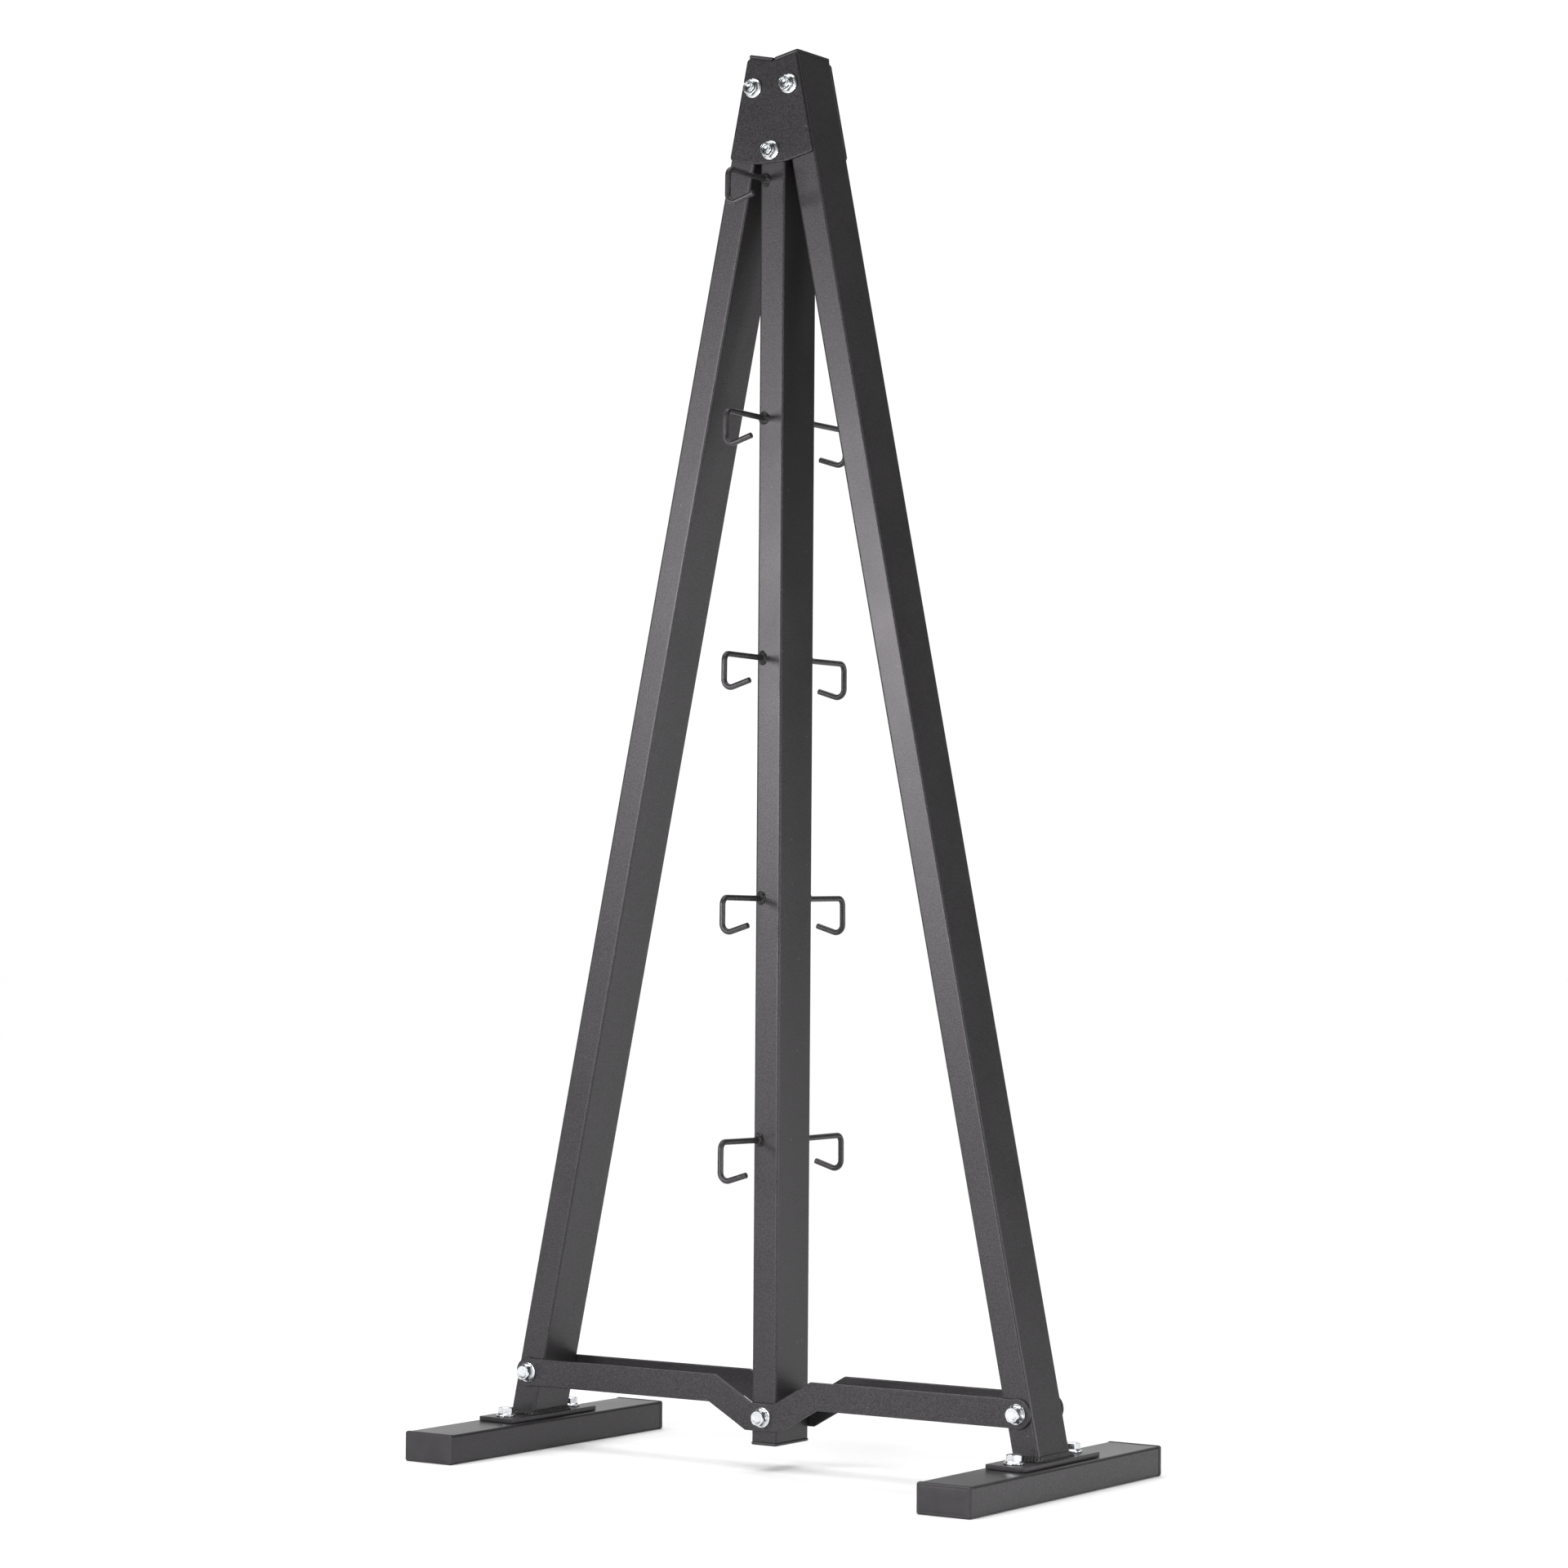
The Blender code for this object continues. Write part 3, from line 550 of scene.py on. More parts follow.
def round_corners(points, radii, steps=CORNER_STEPS):
    """Replace each corner of a closed polygon by an arc; a radius of 0 keeps it sharp."""
    outline = []
    count = len(points)
    for index, (corner, radius) in enumerate(zip(points, radii)):
        if radius == 0:
            outline.append(corner.copy())
            continue
        to_last = (points[index - 1] - corner).normalized()
        to_next = (points[(index + 1) % count] - corner).normalized()
        half_angle = to_last.angle(to_next) / 2
        setback = radius / math.tan(half_angle)
        center = corner + (to_last + to_next).normalized() * (radius / math.sin(half_angle))
        start = corner + to_last * setback - center
        end = corner + to_next * setback - center
        sweep = start.angle_signed(end)
        for step in range(steps + 1):
            turned = start.copy()
            turned.rotate(Matrix.Rotation(-sweep * step / steps, 2))
            outline.append(center + turned)
    return outline


def inset(outline, distance):
    """Move a counter-clockwise outline inward by a distance, with mitred corners."""
    moved = []
    count = len(outline)
    for index, point in enumerate(outline):
        before = (point - outline[index - 1]).normalized()
        after = (outline[(index + 1) % count] - point).normalized()
        normal_a = Vector((-before.y, before.x))
        normal_b = Vector((-after.y, after.x))
        miter = (normal_a + normal_b) / (1 + normal_a.dot(normal_b))
        moved.append(point + miter * distance)
    return moved


def at_height(outline, z):
    return [Vector((p.x, p.y, z)) for p in outline]


# ---- tubes ----

def tube_shape(low_z, high_z):
    """Hollow rectangular tube along local Z.  low_z(x) gives the lower end's local Z."""
    outer = rounded_rect(TUBE_HALF_NARROW, TUBE_HALF_WIDE, TUBE_CORNER)
    inner = rounded_rect(TUBE_HALF_NARROW - TUBE_WALL, TUBE_HALF_WIDE - TUBE_WALL, TUBE_CORNER - TUBE_WALL)
    eased_outer = inset(outer, CUT_EDGE)
    eased_inner = inset(inner, -CUT_EDGE)

    def low_end(outline, above):
        return [Vector((p.x, p.y, low_z(p.x) + above)) for p in outline]

    rings = [
        low_end(eased_inner, 0.0),
        low_end(eased_outer, 0.0),
        low_end(outer, CUT_EDGE),
        low_end(outer, 2 * CUT_EDGE),
        at_height(outer, high_z - 2 * CUT_EDGE),
        at_height(outer, high_z - CUT_EDGE),
        at_height(eased_outer, high_z),
        at_height(eased_inner, high_z),
        at_height(inner, high_z - CUT_EDGE),
        low_end(inner, CUT_EDGE),
    ]
    shape = Shape()
    shape.skin(rings, loop=True)
    return shape


def make_post():
    low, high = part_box("center_post")
    shape = tube_shape(lambda _: low.z, high.z)
    post = add_piece("post_tube", shape, "powder_coat", ["center_post"])
    bolts = [(0, 0, middle(f"{group}_post_bolt").z) for group in ("top", "bar")]
    cut_holes(post, bolts, "Y", 2 * TUBE_HALF_WIDE)


def make_leg(name):
    node = f"{name}_leg"
    place = leg_frame(name)
    low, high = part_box(node)
    rise = place[2][2]
    slant = abs(place[2][0])
    top_end = (high.z - place[2][3] - TUBE_HALF_NARROW * slant) / rise

    def level_cut(x):
        return (low.z - place[2][3] - place[2][0] * x) / rise

    leg = add_piece(f"{name}_leg_tube", tube_shape(level_cut, top_end), "powder_coat", [node], place)
    bolts = [middle(f"{group}_{name}_bolt") for group in ("top", "bar")]
    cut_holes(leg, [(bolt.x, 0, bolt.z) for bolt in bolts], "Y", 2 * TUBE_HALF_WIDE)


def lying_place(x, y, z, sign):
    """Local +Z points along sign * Y, and the tube's wide side lies flat."""
    return Matrix.Translation((x, y, z)) @ z_along_y(sign) @ Matrix.Rotation(math.pi / 2, 4, "Z")


def make_foot(name):
    node = f"{name}_foot_tube"
    low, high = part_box(node)
    center = middle(node)
    half_length = (high.y - low.y) / 2
    place = lying_place(center.x, 0, center.z, 1)
    shape = tube_shape(lambda _: -half_length, half_length)
    foot = add_piece(f"{name}_foot_box", shape, "powder_coat", [node], place)
    cut_holes(foot, foot_bolt_places(name, high.z), "Z", TUBE_HALF_NARROW)


def foot_bolt_places(name, z):
    bolts = [middle(f"{name}_foot_{face}_bolt") for face, _ in FACES]
    return [(bolt.x, bolt.y, z) for bolt in bolts]


# ---- caps ----

def cap_shape(half_x, half_y, flange):
    """Plug cap: flange from z = 0 up, crowned face, and a ribbed hollow plug below."""
    def face_ring(reach, corner, z):
        section = rounded_rect(half_x - reach, half_y - reach, max(corner, CAP_EDGE / 2))
        return at_height(section, z)

    plug_x = TUBE_HALF_NARROW - TUBE_WALL - 2 * PLUG_RIB
    plug_y = TUBE_HALF_WIDE - TUBE_WALL - 2 * PLUG_RIB
    plug_corner = TUBE_CORNER - TUBE_WALL + FLAT_MARGIN
    rim = rounded_rect(half_x, half_y, TUBE_CORNER)
    plug = rounded_rect(plug_x, plug_y, plug_corner)
    rib = rounded_rect(plug_x + PLUG_RIB, plug_y + PLUG_RIB, plug_corner)
    bore = rounded_rect(plug_x - PLUG_WALL, plug_y - PLUG_WALL, plug_corner)
    rings = [at_height(bore, -CAP_EDGE), at_height(bore, -PLUG_LENGTH), at_height(plug, -PLUG_LENGTH)]
    for share in PLUG_RIB_PLACES:
        rib_z = -share * PLUG_LENGTH
        rings.append(at_height(plug, rib_z - CAP_EDGE))
        rings.append(at_height(rib, rib_z))
        rings.append(at_height(plug, rib_z + CAP_EDGE / 4))
    rings.append(at_height(plug, 0.0))
    rings.append(at_height(inset(rim, CAP_SEAM), 0.0))
    rings.append(at_height(inset(rim, 0.3 * CAP_SEAM), 0.3 * CAP_SEAM))
    rings.append(at_height(rim, CAP_SEAM))
    edge_steps = 5
    for step in range(edge_steps + 1):
        angle = math.pi / 2 * step / edge_steps
        moved = CAP_EDGE * (1 - math.cos(angle))
        z = flange - CAP_CROWN - CAP_EDGE * (1 - math.sin(angle))
        rings.append(face_ring(moved, TUBE_CORNER - moved, z))
    for start, sink in ((GROOVE_STARTS, 0.0), (GROOVE_FLOOR, CAP_GROOVE), (GROOVE_ENDS, 0.0)):
        reach = start + CAP_EDGE
        rings.append(face_ring(reach, TUBE_CORNER - reach, flange - CAP_CROWN - sink))
    crown_steps = 6
    for step in range(1, crown_steps + 1):
        share = step / crown_steps
        reach = CAP_EDGE + GROOVE_ENDS + (half_x - 4 * CAP_EDGE) * share
        z = flange - CAP_CROWN * (1 - share) ** 2
        rings.append(face_ring(reach, (TUBE_CORNER - CAP_EDGE) * (1 - share), z))
    shape = Shape()
    shape.skin(rings)
    return shape


def make_post_cap(node, name, sign):
    """Cap at the post's upper end (sign 1) or lower end (sign -1)."""
    low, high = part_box(node)
    post_low, post_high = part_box("center_post")
    half = half_size(node)
    # The plug is inside the tube, so the flange is what lies outside the post's end
    outer_z, post_end = (high.z, post_high.z) if sign > 0 else (low.z, post_low.z)
    flange = abs(outer_z - post_end)
    turn = Matrix.Identity(4) if sign > 0 else UPSIDE_DOWN
    place = Matrix.Translation((0, 0, outer_z - sign * flange)) @ turn
    add_piece(name, cap_shape(half.x, half.y, flange), "cap_plastic", [node], place)


def make_foot_cap(name, face, sign):
    node = f"{name}_foot_{face}_cap"
    low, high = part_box(node)
    tube_low, tube_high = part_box(f"{name}_foot_tube")
    half = half_size(node)
    center = middle(node)
    outer_y, tube_end = (high.y, tube_high.y) if sign > 0 else (low.y, tube_low.y)
    shape = cap_shape(half.z, half.x, abs(outer_y - tube_end))
    place = lying_place(center.x, tube_end, center.z, sign)
    add_piece(f"{name}_foot_{face}_plug", shape, "cap_plastic", [node], place)


def make_leg_cap(name):
    node = f"{name}_leg_top_cap"
    place = leg_frame(name)
    inverse = place.inverted()
    cap_points = [inverse @ point for point in node_points(node)]
    top = max(point.z for point in cap_points)
    half_x = max(point.x for point in cap_points)
    half_y = max(point.y for point in cap_points)
    seat = max((inverse @ point).z for point in node_points(f"{name}_leg"))
    shape = cap_shape(half_x, half_y, top - seat)
    add_piece(f"{name}_leg_plug", shape, "cap_plastic", [node], place @ Matrix.Translation((0, 0, seat)))


# ---- flat plates ----

def plate_shape(outline, thickness, edge):
    """Flat plate from z = 0 up, with rounded rims on both faces."""
    steps = 4
    lower = []
    for step in range(steps + 1):
        angle = math.pi / 2 * step / steps
        lower.append((edge * (1 - math.sin(angle)), edge * (1 - math.cos(angle))))
    sections = [(2 * edge, 0.0)] + lower
    sections += [(moved, thickness - z) for moved, z in reversed(lower)] + [(2 * edge, thickness)]
    shape = Shape()
    shape.skin([at_height(inset(outline, moved), z) for moved, z in sections])
    return shape


def top_plate_outline():
    """V notch on top, sides along the legs, and a level middle below: in X and Z."""
    low_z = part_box("front_top_plate")[0].z
    right_leg = leg_frame("right")
    up = Vector((right_leg[0][2], right_leg[2][2]))
    across = Vector((up.y, -up.x))
    bolt = Vector((right_leg[0][3], right_leg[2][3]))
    edge = TUBE_HALF_NARROW - PLATE_INSET
    upper = bolt + across * edge + up * PLATE_ABOVE_BOLT
    lower = bolt + across * edge - up * PLATE_BELOW_BOLT
    slope = across.y / across.x
    notch = Vector((0, upper.y - upper.x * slope))
    level_x = lower.x + (low_z - lower.y) / slope
    right_half = [Vector((level_x, low_z)), lower, upper]
    left_half = [Vector((-p.x, p.y)) for p in reversed(right_half)]
    radii = [SHEET_CORNER] * 3 + [0] + [SHEET_CORNER] * 3
    return round_corners(right_half + [notch] + left_half, radii)


def cross_bar_outline():
    """Round ends at the leg bolts and a dipped middle at the post bolt: in X and Z."""
    leg_bolt = middle("bar_right_bolt")
    post_z = middle("bar_post_bolt").z
    half = BAR_HALF_WIDTH
    slope = (leg_bolt.z - post_z) / (BAR_BEND_X - BAR_FLAT_X)
    shift = half * math.tan(math.atan(slope) / 2)
    lower = [Vector((BAR_FLAT_X + shift, post_z - half)), Vector((BAR_BEND_X + shift, leg_bolt.z - half))]
    upper = [Vector((BAR_BEND_X - shift, leg_bolt.z + half)), Vector((BAR_FLAT_X - shift, post_z + half))]
    end_angle = math.pi - math.asin(half / BAR_END_RADIUS)
    steps = 40
    end = []
    for step in range(steps + 1):
        angle = end_angle * (2 * step / steps - 1)
        offset = BAR_END_RADIUS * Vector((math.cos(angle), math.sin(angle)))
        end.append(Vector((leg_bolt.x, leg_bolt.z)) + offset)
    right_half = lower + end + upper
    left_half = [Vector((-p.x, p.y)) for p in reversed(right_half)]
    half_radii = [BAR_CORNER] * 2 + [0] * len(end) + [BAR_CORNER] * 2
    return round_corners(right_half + left_half, half_radii + half_radii)


def make_sheets():
    parts = (
        ("top_plate", top_plate_outline(), "top", PLATE_COAT),
        ("cross_bar", cross_bar_outline(), "bar", COAT),
    )
    for face, _ in FACES:
        for part, outline, group, coat in parts:
            node = f"{face}_{part}"
            low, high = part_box(node)
            # Local Z becomes -Y, so a counter-clockwise outline in X and Z keeps its sense
            place = Matrix.Translation((0, high.y, 0)) @ Matrix.Rotation(math.pi / 2, 4, "X")
            shape = plate_shape(outline, high.y - low.y, SHEET_EDGE)
            piece = add_piece(f"{node}_sheet", shape, "powder_coat", [node], place, main_look=coat)
            bolts = [middle(f"{group}_{where}_bolt") for where in ("left", "right", "post")]
            center_y = (low.y + high.y) / 2
            cut_holes(piece, [(bolt.x, center_y, bolt.z) for bolt in bolts], "Y", high.y - low.y)


def make_base_plate(name):
    node = f"{name}_base_plate"
    low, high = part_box(node)
    half = half_size(node)
    signs = ((1, 1), (-1, 1), (-1, -1), (1, -1))
    corners = [Vector((x * half.x, y * half.y)) for x, y in signs]
    outline = round_corners(corners, [2 * BASE_EDGE] * 4, steps=4)
    shape = plate_shape(outline, high.z - low.z, BASE_EDGE)
    place = Matrix.Translation((middle(node).x, 0, low.z))
    piece = add_piece(f"{name}_base_sheet", shape, "powder_coat", [node], place)
    cut_holes(piece, foot_bolt_places(name, high.z), "Z", high.z - low.z)


# ---- welds ----

def wave(position_along, seed, spread):
    """Smooth repeatable wobble between about -1 and 1."""
    rng = random.Random(seed)
    total = 0.0
    for harmonic in range(1, 5):
        phase = rng.uniform(0, 2 * math.pi)
        total += math.sin(position_along / spread * harmonic + phase) / harmonic
    return total / 2


def make_leg_weld(name):
    """Rippled fillet bead round the leg's lower end, following the CAD ring's centre."""
    node = f"{name}_leg_weld"
    base_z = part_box(node)[0].z
    center = middle(node)
    leg = leg_frame(name)
    rise = leg[2][2]
    lean = leg[0][2] / rise
    outline = rounded_rect(TUBE_HALF_NARROW / rise + FIT, TUBE_HALF_WIDE + FIT, TUBE_CORNER)
    path = resample(outline, WELD_SPACING)
    total = path[-1][2]
    section_steps = 9
    rings = []
    for point, outward, along in path:
        size = WELD_LEG * (0.88 + 0.10 * wave(2 * math.pi * along / total, name, 1.0))
        ring = []
        for step in range(section_steps + 1):
            angle = math.pi / 2 * step / section_steps
            ripple = ripple_at(along + WELD_SWEEP * math.sin(2 * angle), name)
            # The section is nearly straight between its toes, as a fillet's is
            reach = size * (0.74 + 0.26 * abs(math.cos(2 * angle)) ** 1.5 + 0.10 * ripple)
            out = reach * math.cos(angle)
            z = base_z + reach * math.sin(angle)
            x = center.x + point.x + outward.x * out + lean * (z - center.z)
            ring.append(Vector((x, point.y + outward.y * out, z)))
        # Close the section behind the bead, against the tube and the plate
        ring.append(Vector((center.x + point.x + lean * (base_z - center.z), point.y, base_z)))
        rings.append(ring)
    shape = Shape()
    shape.skin(rings, loop=True)
    add_piece(f"{name}_leg_bead", shape, "weld_bead", [node], sharp=WELD_SHARP_ANGLE)


def ripple_at(along, seed):
    """Overlapping scales of a weld: a steep front and a long back, -1 to 1."""
    wobble = 0.35 * wave(along, str(seed) + "w", 0.004)
    phase = (along / WELD_RIPPLE + wobble) % 1.0
    return math.sin(math.pi * phase ** 0.7) * 2 - 1


def resample(outline, spacing):
    """Even points round a closed outline: (point, outward normal, distance along)."""
    count = len(outline)
    lengths = [(outline[(i + 1) % count] - outline[i]).length for i in range(count)]
    total = sum(lengths)
    samples = round(total / spacing)
    points = []
    edge = 0
    passed = 0.0
    for index in range(samples):
        wanted = total * index / samples
        while passed + lengths[edge] < wanted:
            passed += lengths[edge]
            edge += 1
        start = outline[edge]
        step = outline[(edge + 1) % count] - start
        points.append(start + step * ((wanted - passed) / lengths[edge]))
    result = []
    for index, point in enumerate(points):
        tangent = points[(index + 1) % samples] - points[index - 1]
        outward = Vector((tangent.y, -tangent.x)).normalized()
        result.append((point, outward, total * index / samples))
    return result


# ---- hooks ----

def bend(center, start, toward, angle):
    """Arc round a centre, from centre + start and turning toward a unit direction."""
    points = []
    for step in range(BEND_STEPS + 1):
        turned = angle * step / BEND_STEPS
        points.append(center + start * math.cos(turned) + toward * start.length * math.sin(turned))
    return points


def hook_path(lean, extra_drop):
    """Centre line of a rear hook: out along +Y, down, then sideways along -X and rising."""
    outer_y = HOOK_REACH - ROD_RADIUS
    low_z = -(HOOK_DROP + extra_drop - 2 * ROD_RADIUS)
    top_center = Vector((0, outer_y - HOOK_TOP_BEND, -HOOK_TOP_BEND))
    low_center = Vector((-HOOK_LOW_BEND, outer_y, low_z + HOOK_LOW_BEND))
    path = [Vector((0, FIT, 0))]
    arm = outer_y - HOOK_TOP_BEND - FIT
    path += [Vector((0, FIT + arm * share, 0)) for share in (0.25, 0.5, 0.75)]
    path += bend(top_center, Z_AXIS * HOOK_TOP_BEND, Y_AXIS, math.pi / 2)
    path += bend(low_center, X_AXIS * HOOK_LOW_BEND, -Z_AXIS, math.pi / 2 + CRADLE_RISE)
    run = CRADLE_LENGTH + path[-1].x
    direction = Vector((-1, 0, math.tan(CRADLE_RISE)))
    path.append(path[-1] + direction * run)
    turn = Matrix.Rotation(math.radians(lean), 3, "X")
    root = path[0]
    return [root] + [turn @ (point - root) + root for point in path[1:]]


def rod_rings(path):
    """Rings along the path, with an eased edge at the free end; the section never twists."""
    rings = []
    across = X_AXIS.copy()
    section = circle(ROD_RADIUS, ROD_SEGMENTS)
    for index, point in enumerate(path):
        before = path[max(index - 1, 0)]
        after = path[min(index + 1, len(path) - 1)]
        along = (after - before).normalized()
        across = (across - along * across.dot(along)).normalized()
        normal = along.cross(across)
        rings.append([point + across * p.x + normal * p.y for p in section])
    tip = path[-1]
    along = (path[-1] - path[-2]).normalized()
    last = rings.pop()
    rings.append([p - along * 2 * ROD_END_EDGE for p in last])
    edge_steps = 3
    for step in range(edge_steps + 1):
        angle = math.pi / 2 * step / edge_steps
        shrink = 1 - ROD_END_EDGE / ROD_RADIUS * (1 - math.cos(angle))
        shift = ROD_END_EDGE * (math.sin(angle) - 1)
        rings.append([tip + (p - tip) * shrink + along * shift for p in last])
    return rings


def bead_rings(seed):
    """Lumpy weld bead round a hook's root, axis along +Y, from the rod out to the post."""
    rng = random.Random(seed)
    lobes = [(rng.uniform(0, 2 * math.pi), rng.uniform(0.6, 1.0)) for _ in range(BEAD_LOBES)]
    segments = 64
    rows = 16
    rings = []
    for row in range(rows + 1):
        share = row / rows          # 0 at the rod, 1 at the rim on the post
        ring = []
        for i in range(segments):
            angle = 2 * math.pi * i / segments
            lobe = sum(size * max(0.0, math.cos(angle - where)) ** 8 for where, size in lobes)
            # The lobes widen the rim and raise the dome, and a ripple roughens it
            rim = Vector((HOOK_BEAD_X * math.cos(angle), HOOK_BEAD_Z * math.sin(angle)))
            rim *= 0.84 + 0.16 * min(lobe, 1.0) + 0.05 * wave(3 * angle, seed, 1.0)
            rod = Vector((math.cos(angle), math.sin(angle))) * ROD_RADIUS * 0.97
            place = rod.lerp(rim, share)
            dome = 1 - share ** 1.8
            ripple = 0.10 * math.sin(4 * angle + 7 * share + seed) * math.sin(math.pi * share)
            height = HOOK_BEAD_H * (dome * (0.55 + 0.55 * min(lobe, 1.1)) + ripple)
            height = min(max(height, 0.0), 1.25 * HOOK_BEAD_H)
            ring.append(Vector((place.x, FIT + height, place.y)))
        rings.append(ring)
    return rings


def make_hooks():
    for face, sign in FACES:
        for index, (lean, extra) in enumerate(zip(LEANS[face], EXTRA_DROPS[face])):
            node = f"{face}_hook_{index + 1}"
            root = Vector((sign * HOOK_OFFSET_X, sign * TUBE_HALF_WIDE, hook_root_z(node)))
            place = Matrix.Translation(root)
            if sign < 0:
                place = place @ Matrix.Rotation(math.pi, 4, "Z")
            shape = Shape()
            shape.skin(rod_rings(hook_path(lean, extra)))
            rings = bead_rings(10 * index + (sign + 1) // 2 + 1)
            # The bead's flat back lies on the post, and its middle is inside the rod
            back = [Vector((p.x, FIT, p.z)) for p in rings[-1]]
            back_middle = [Vector((p.x / 2, FIT, p.z / 2)) for p in rings[0]]
            shape.skin([back_middle, back, *reversed(rings)], look=1)
            add_piece(
                f"{node}_rod", shape, "powder_coat", [node], place,
                sharp=HOOK_SHARP_ANGLE, extra_looks=[WELD],
            )


def hook_root_z(node):
    """Height of a hook's root: the middle of the ring of points nearest to the post."""
    points = node_points(node)
    nearest = min(abs(point.y) for point in points)
    heights = [point.z for point in points if abs(point.y) < nearest + FIT]
    return (min(heights) + max(heights)) / 2


# ---- fasteners ----

def hex_radius(angle):
    from_flat = (angle + math.pi / 6) % (math.pi / 3) - math.pi / 6
    return min(HEX_FLAT / math.cos(from_flat), HEX_CORNER_CUT * HEX_CORNER)


def around(radius_at, z):
    """Ring whose radius depends on the angle."""
    ring = []
    for i in range(HEX_SEGMENTS):
        angle = 2 * math.pi * i / HEX_SEGMENTS
        radius = radius_at(angle)
        ring.append(Vector((radius * math.cos(angle), radius * math.sin(angle), z)))
    return ring


def round_ring(radius, z):
    return around(lambda _: radius, z)


def flange_rings(height):
    """Outside of a flange head from its seat up to the hexagon's chamfered top edge."""
    rim = FLANGE_RADIUS
    soft = FLANGE_EDGE
    rings = [
        round_ring(rim - 2 * soft, 0.0),
        round_ring(rim - 0.3 * soft, 0.3 * soft),
        round_ring(rim, soft),
        round_ring(rim, FLANGE_RIM - soft),
        round_ring(rim - 0.3 * soft, FLANGE_RIM - 0.3 * soft),
        round_ring(rim - soft, FLANGE_RIM),
    ]
    slope_steps = 4
    for step in range(1, slope_steps + 1):
        share = step / slope_steps
        z = FLANGE_RIM + (FLANGE_SLOPE_TOP - FLANGE_RIM) * share ** 1.6
        rings.append(around(lambda a: (rim - soft) + (hex_radius(a) - rim + soft) * share, z))
    rings.append(around(hex_radius, FLANGE_SLOPE_TOP + 2 * soft))
    chamfer_end = CHAMFER_END * HEX_FLAT
    chamfer_height = (HEX_CORNER - chamfer_end) * math.tan(CHAMFER_ANGLE)
    chamfer_steps = 9
    for step in range(chamfer_steps + 1):
        share = step / chamfer_steps
        z = height - chamfer_height * (1 - share)
        cone = HEX_CORNER + (chamfer_end - HEX_CORNER) * share
        rings.append(around(lambda a: min(hex_radius(a), cone), z))
    return rings


def thread_ring(z, radius, depth):
    """Ring of a helical thread at height z: a positive depth cuts outward, a negative one inward."""
    ring = []
    for i in range(HEX_SEGMENTS):
        angle = 2 * math.pi * i / HEX_SEGMENTS
        phase = (z / THREAD_PITCH - angle / (2 * math.pi)) % 1.0
        groove = 1 - abs(2 * phase - 1)
        r = radius + depth * groove
        ring.append(Vector((r * math.cos(angle), r * math.sin(angle), z)))
    return ring


def bolt_shape(length, height):
    """Flange bolt: head above z = 0, shank down to -length with a thread near its tip."""
    thread = min(THREAD_LENGTH, length)
    rows = int(thread / THREAD_PITCH * THREAD_ROWS)
    tip_radius = BOLT_RADIUS - TIP_CHAMFER
    # Slightly hollow tip: shares of its radius, and of the chamfer above the end
    tip = ((0.4, 0.15), (0.9, 0.0), (1.0, 0.1))
    rings = [round_ring(share * tip_radius, -length + rise * TIP_CHAMFER) for share, rise in tip]
    thread_start = -length + TIP_CHAMFER
    for row in range(rows + 1):
        z = thread_start + (thread - TIP_CHAMFER) * row / rows
        fade = min(1.0, (rows - row) / THREAD_ROWS)
        rings.append(thread_ring(z, BOLT_RADIUS, -THREAD_DEPTH * fade))
    if length > thread:
        rings.append(round_ring(BOLT_RADIUS, -FLANGE_RIM))
    rings.append(round_ring(BOLT_RADIUS, 0.0))
    rings += flange_rings(height)
    rings.append(round_ring(DISH_RADIUS + DISH_DEPTH, height))
    for share, sink in ((1.0, 0.3), (0.8, 1.0), (0.3, 1.0)):
        rings.append(round_ring(share * DISH_RADIUS, height - sink * DISH_DEPTH))
    shape = Shape()
    shape.skin(rings)
    return shape


def lock_nut_shape(height):
    """Flange lock nut: hexagon, crimped round collar, grey insert and threaded bore."""
    hex_height = COLLAR_START * height
    collar_height = height - hex_height
    rings = flange_rings(hex_height)
    rings.append(round_ring(COLLAR_RADIUS + COLLAR_FOOT, hex_height))
    rings.append(round_ring(COLLAR_RADIUS, hex_height + 0.2 * collar_height))
    roll_steps = 6
    for step in range(1, roll_steps + 1):
        angle = math.pi / 2 * step / roll_steps
        radius = COLLAR_LIP + (COLLAR_RADIUS - COLLAR_LIP) * math.cos(angle)
        rings.append(round_ring(radius, height - 0.7 * collar_height * (1 - math.sin(angle))))
    insert_rows = range(len(rings), len(rings) + 2)
    rings.append(round_ring(COLLAR_LIP - INSERT_GAP, height - INSERT_DEPTH / 2))
    rings.append(round_ring(COLLAR_LIP - 2 * INSERT_GAP, height - INSERT_DEPTH))
    rings.append(round_ring(BORE_RADIUS, height - 1.5 * INSERT_DEPTH))
    rows = int(height / THREAD_PITCH * THREAD_ROWS) - THREAD_ROWS
    for row in range(rows + 1):
        z = (height - 2 * INSERT_DEPTH) * (1 - row / rows) + INSERT_DEPTH * row / rows
        rings.append(thread_ring(z, BORE_RADIUS, THREAD_DEPTH / 2))
    rings.append(round_ring(BORE_RADIUS + 2 * CUT_EDGE, 0.0))
    shape = Shape()
    shape.skin(rings, loop=True, row_looks={row: 1 for row in insert_rows})
    return shape


def add_fastener(node, shape, place, twist=0.0, extra_looks=()):
    place = place @ Matrix.Rotation(math.radians(twist), 4, "Z")
    add_piece(f"{node}_steel", shape, "zinc_fastener", [node], place, extra_looks=extra_looks)


def seat_of(node, sign):
    """Y of the flange's seat: the flange is the widest part of the fastener."""
    low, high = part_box(node)
    widest = (high.x - low.x) / 2
    center_x = (low.x + high.x) / 2
    rim = [point.y for point in node_points(node) if abs(point.x - center_x) > 0.99 * widest]
    return min(rim, key=lambda y: sign * y)


def seated_place(node, sign):
    """Place of a bolt or nut whose head points along sign * Y, seated against its plate."""
    center = middle(node)
    return Matrix.Translation((center.x, seat_of(node, sign), center.z)) @ z_along_y(sign)


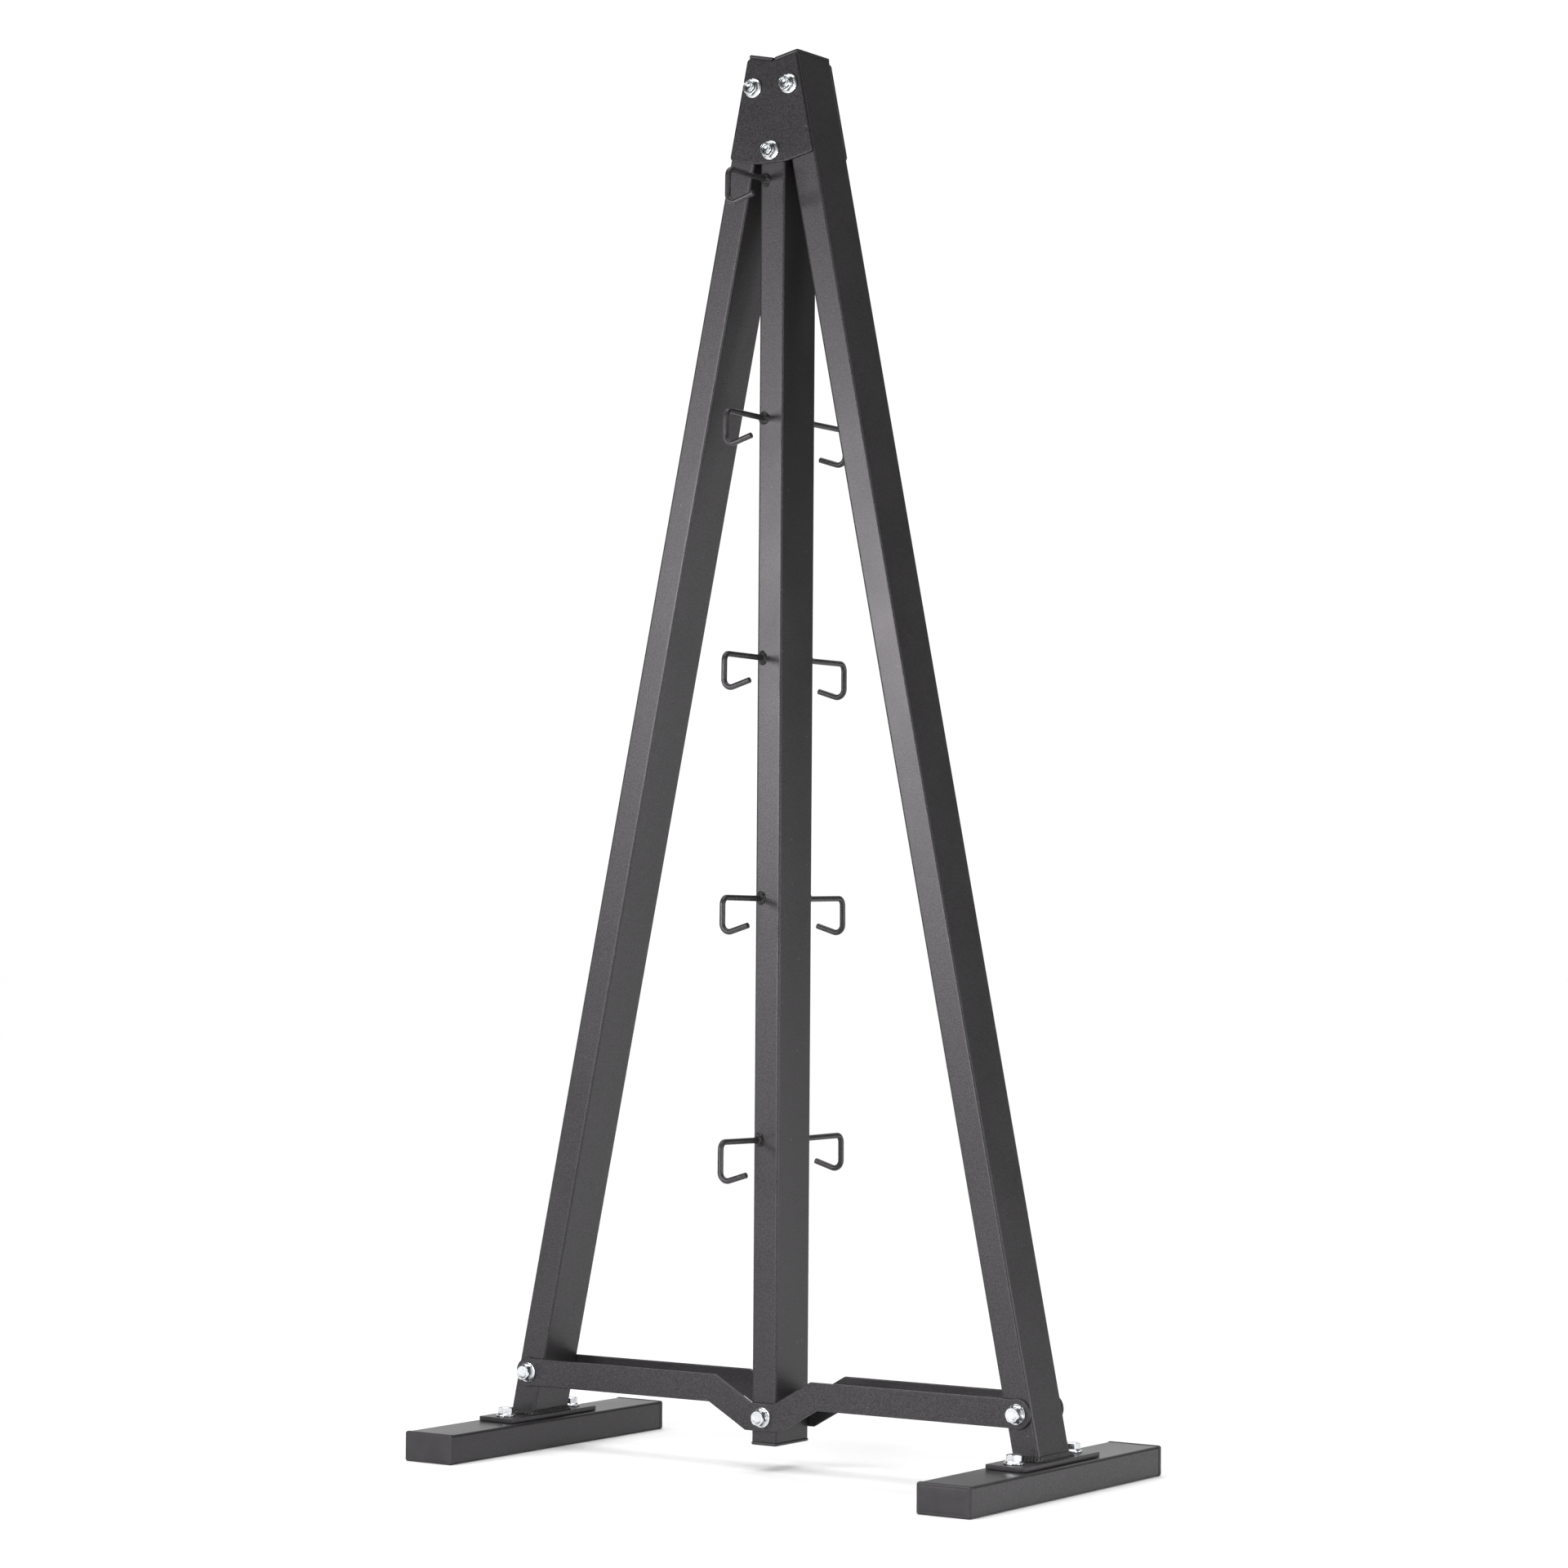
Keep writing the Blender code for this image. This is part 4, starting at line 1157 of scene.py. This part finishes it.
def make_through_bolts():
    for group, head_sign in (("top", 1), ("bar", -1)):
        for where in ("left", "right", "post"):
            key = f"{group}_{where}"
            bolt, nut = f"{key}_bolt", f"{key}_nut"
            low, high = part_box(bolt)
            head_end, tip_end = (high.y, low.y) if head_sign > 0 else (low.y, high.y)
            seat = seat_of(bolt, head_sign)
            shape = bolt_shape(abs(seat - tip_end) - BOLT_RECESS, abs(head_end - seat))
            add_fastener(bolt, shape, seated_place(bolt, head_sign), HEAD_TWIST[key])
            nut_low, nut_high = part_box(nut)
            shape = lock_nut_shape(nut_high.y - nut_low.y)
            add_fastener(nut, shape, seated_place(nut, -head_sign), HEAD_TWIST[key], [NYLON])


def make_foot_bolts(name):
    for face, _ in FACES:
        bolt, nut = f"{name}_foot_{face}_bolt", f"{name}_foot_{face}_nut"
        low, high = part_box(bolt)
        center = middle(bolt)
        seat_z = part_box(f"{name}_base_plate")[1].z + FIT
        place = Matrix.Translation((center.x, center.y, seat_z))
        shape = bolt_shape(seat_z - low.z, high.z - seat_z)
        add_fastener(bolt, shape, place, FOOT_TWIST[f"{name}_{face}"])
        nut_low, nut_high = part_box(nut)
        place = Matrix.Translation((center.x, center.y, nut_high.z)) @ UPSIDE_DOWN
        shape = lock_nut_shape(nut_high.z - nut_low.z)
        add_fastener(nut, shape, place, extra_looks=[NYLON])


# ---- stage, lights, camera ----

def make_floor():
    shape = Shape()
    rings = [at_height(circle(radius, FLOOR_SEGMENTS), 0.0) for radius in FLOOR_RADII]
    shape.skin(rings, closed=False)
    shape.add_face(tuple(range(FLOOR_SEGMENTS)), 0)
    floor = new_object("floor", shape.points, shape.faces)
    floor.data.materials.append(floor_material())


def make_world():
    """Dim room with soft-edged white backdrops, each a lobe round a level direction."""
    world = bpy.data.worlds.new("studio")
    bpy.context.scene.world = world
    look = Look(world)
    view_direction = look.node("ShaderNodeTexCoord").outputs["Generated"]
    total = ROOM_STRENGTH
    for turn, full, gone, strength in BACKDROPS:
        nearness = look.node("ShaderNodeVectorMath", operation="DOT_PRODUCT")
        nearness.inputs[1].default_value = (math.cos(math.radians(turn)), math.sin(math.radians(turn)), 0.0)
        look.link(view_direction, nearness.inputs[0])
        edges = (math.cos(math.radians(gone)), math.cos(math.radians(full)))
        lobe = look.remap(nearness.outputs["Value"], *edges, 0.0, strength, smooth=True)
        total = look.combine("ADD", lobe, total)
    background = look.tree.nodes["Background"]
    background.inputs["Color"].default_value = (1, 1, 1, 1)
    look.link(total, background.inputs["Strength"])


def add_light(name, kind, place, target, power):
    data = bpy.data.lights.new(name, kind)
    data.energy = power
    lamp = bpy.data.objects.new(name, data)
    bpy.context.scene.collection.objects.link(lamp)
    toward = Vector(target) - Vector(place)
    lamp.matrix_world = Matrix.Translation(place) @ toward.to_track_quat("-Z", "Y").to_matrix().to_4x4()
    return data


def make_lights():
    for name, (place, target, width, height, power) in SOFTBOXES.items():
        data = add_light(name, "AREA", place, target, power)
        data.shape = "RECTANGLE"
        data.size = width
        data.size_y = height
    sky = add_light("sky", "SUN", (0.0, 0.0, 3.0), (0.0, 0.0, 0.0), SKY_STRENGTH)
    sky.angle = SKY_ANGLE


def make_camera():
    data = bpy.data.cameras.new("camera")
    data.sensor_width = CAMERA_SENSOR
    data.lens = CAMERA_LENS
    data.clip_end = 100.0
    camera = bpy.data.objects.new("camera", data)
    bpy.context.scene.collection.objects.link(camera)
    view = Matrix.Rotation(CAMERA_TURN, 4, "Z") @ Matrix.Rotation(math.pi / 2 + CAMERA_PITCH, 4, "X")
    camera.matrix_world = Matrix.Translation(CAMERA_PLACE) @ view @ Matrix.Rotation(CAMERA_ROLL, 4, "Z")
    bpy.context.scene.camera = camera
    bpy.context.scene.view_settings.view_transform = "Standard"


make_camera()
make_lights()
make_world()
make_floor()
make_post()
for side_name in SIDES:
    make_leg(side_name)
    make_leg_weld(side_name)
    make_foot(side_name)
    make_base_plate(side_name)
    make_foot_bolts(side_name)
make_post_cap("post_top_cap", "post_upper_plug", 1)
make_post_cap("post_bottom_cap", "post_lower_plug", -1)
for side_name in SIDES:
    for face_name, face_sign in FACES:
        make_foot_cap(side_name, face_name, face_sign)
    make_leg_cap(side_name)
make_sheets()
make_through_bolts()
make_hooks()
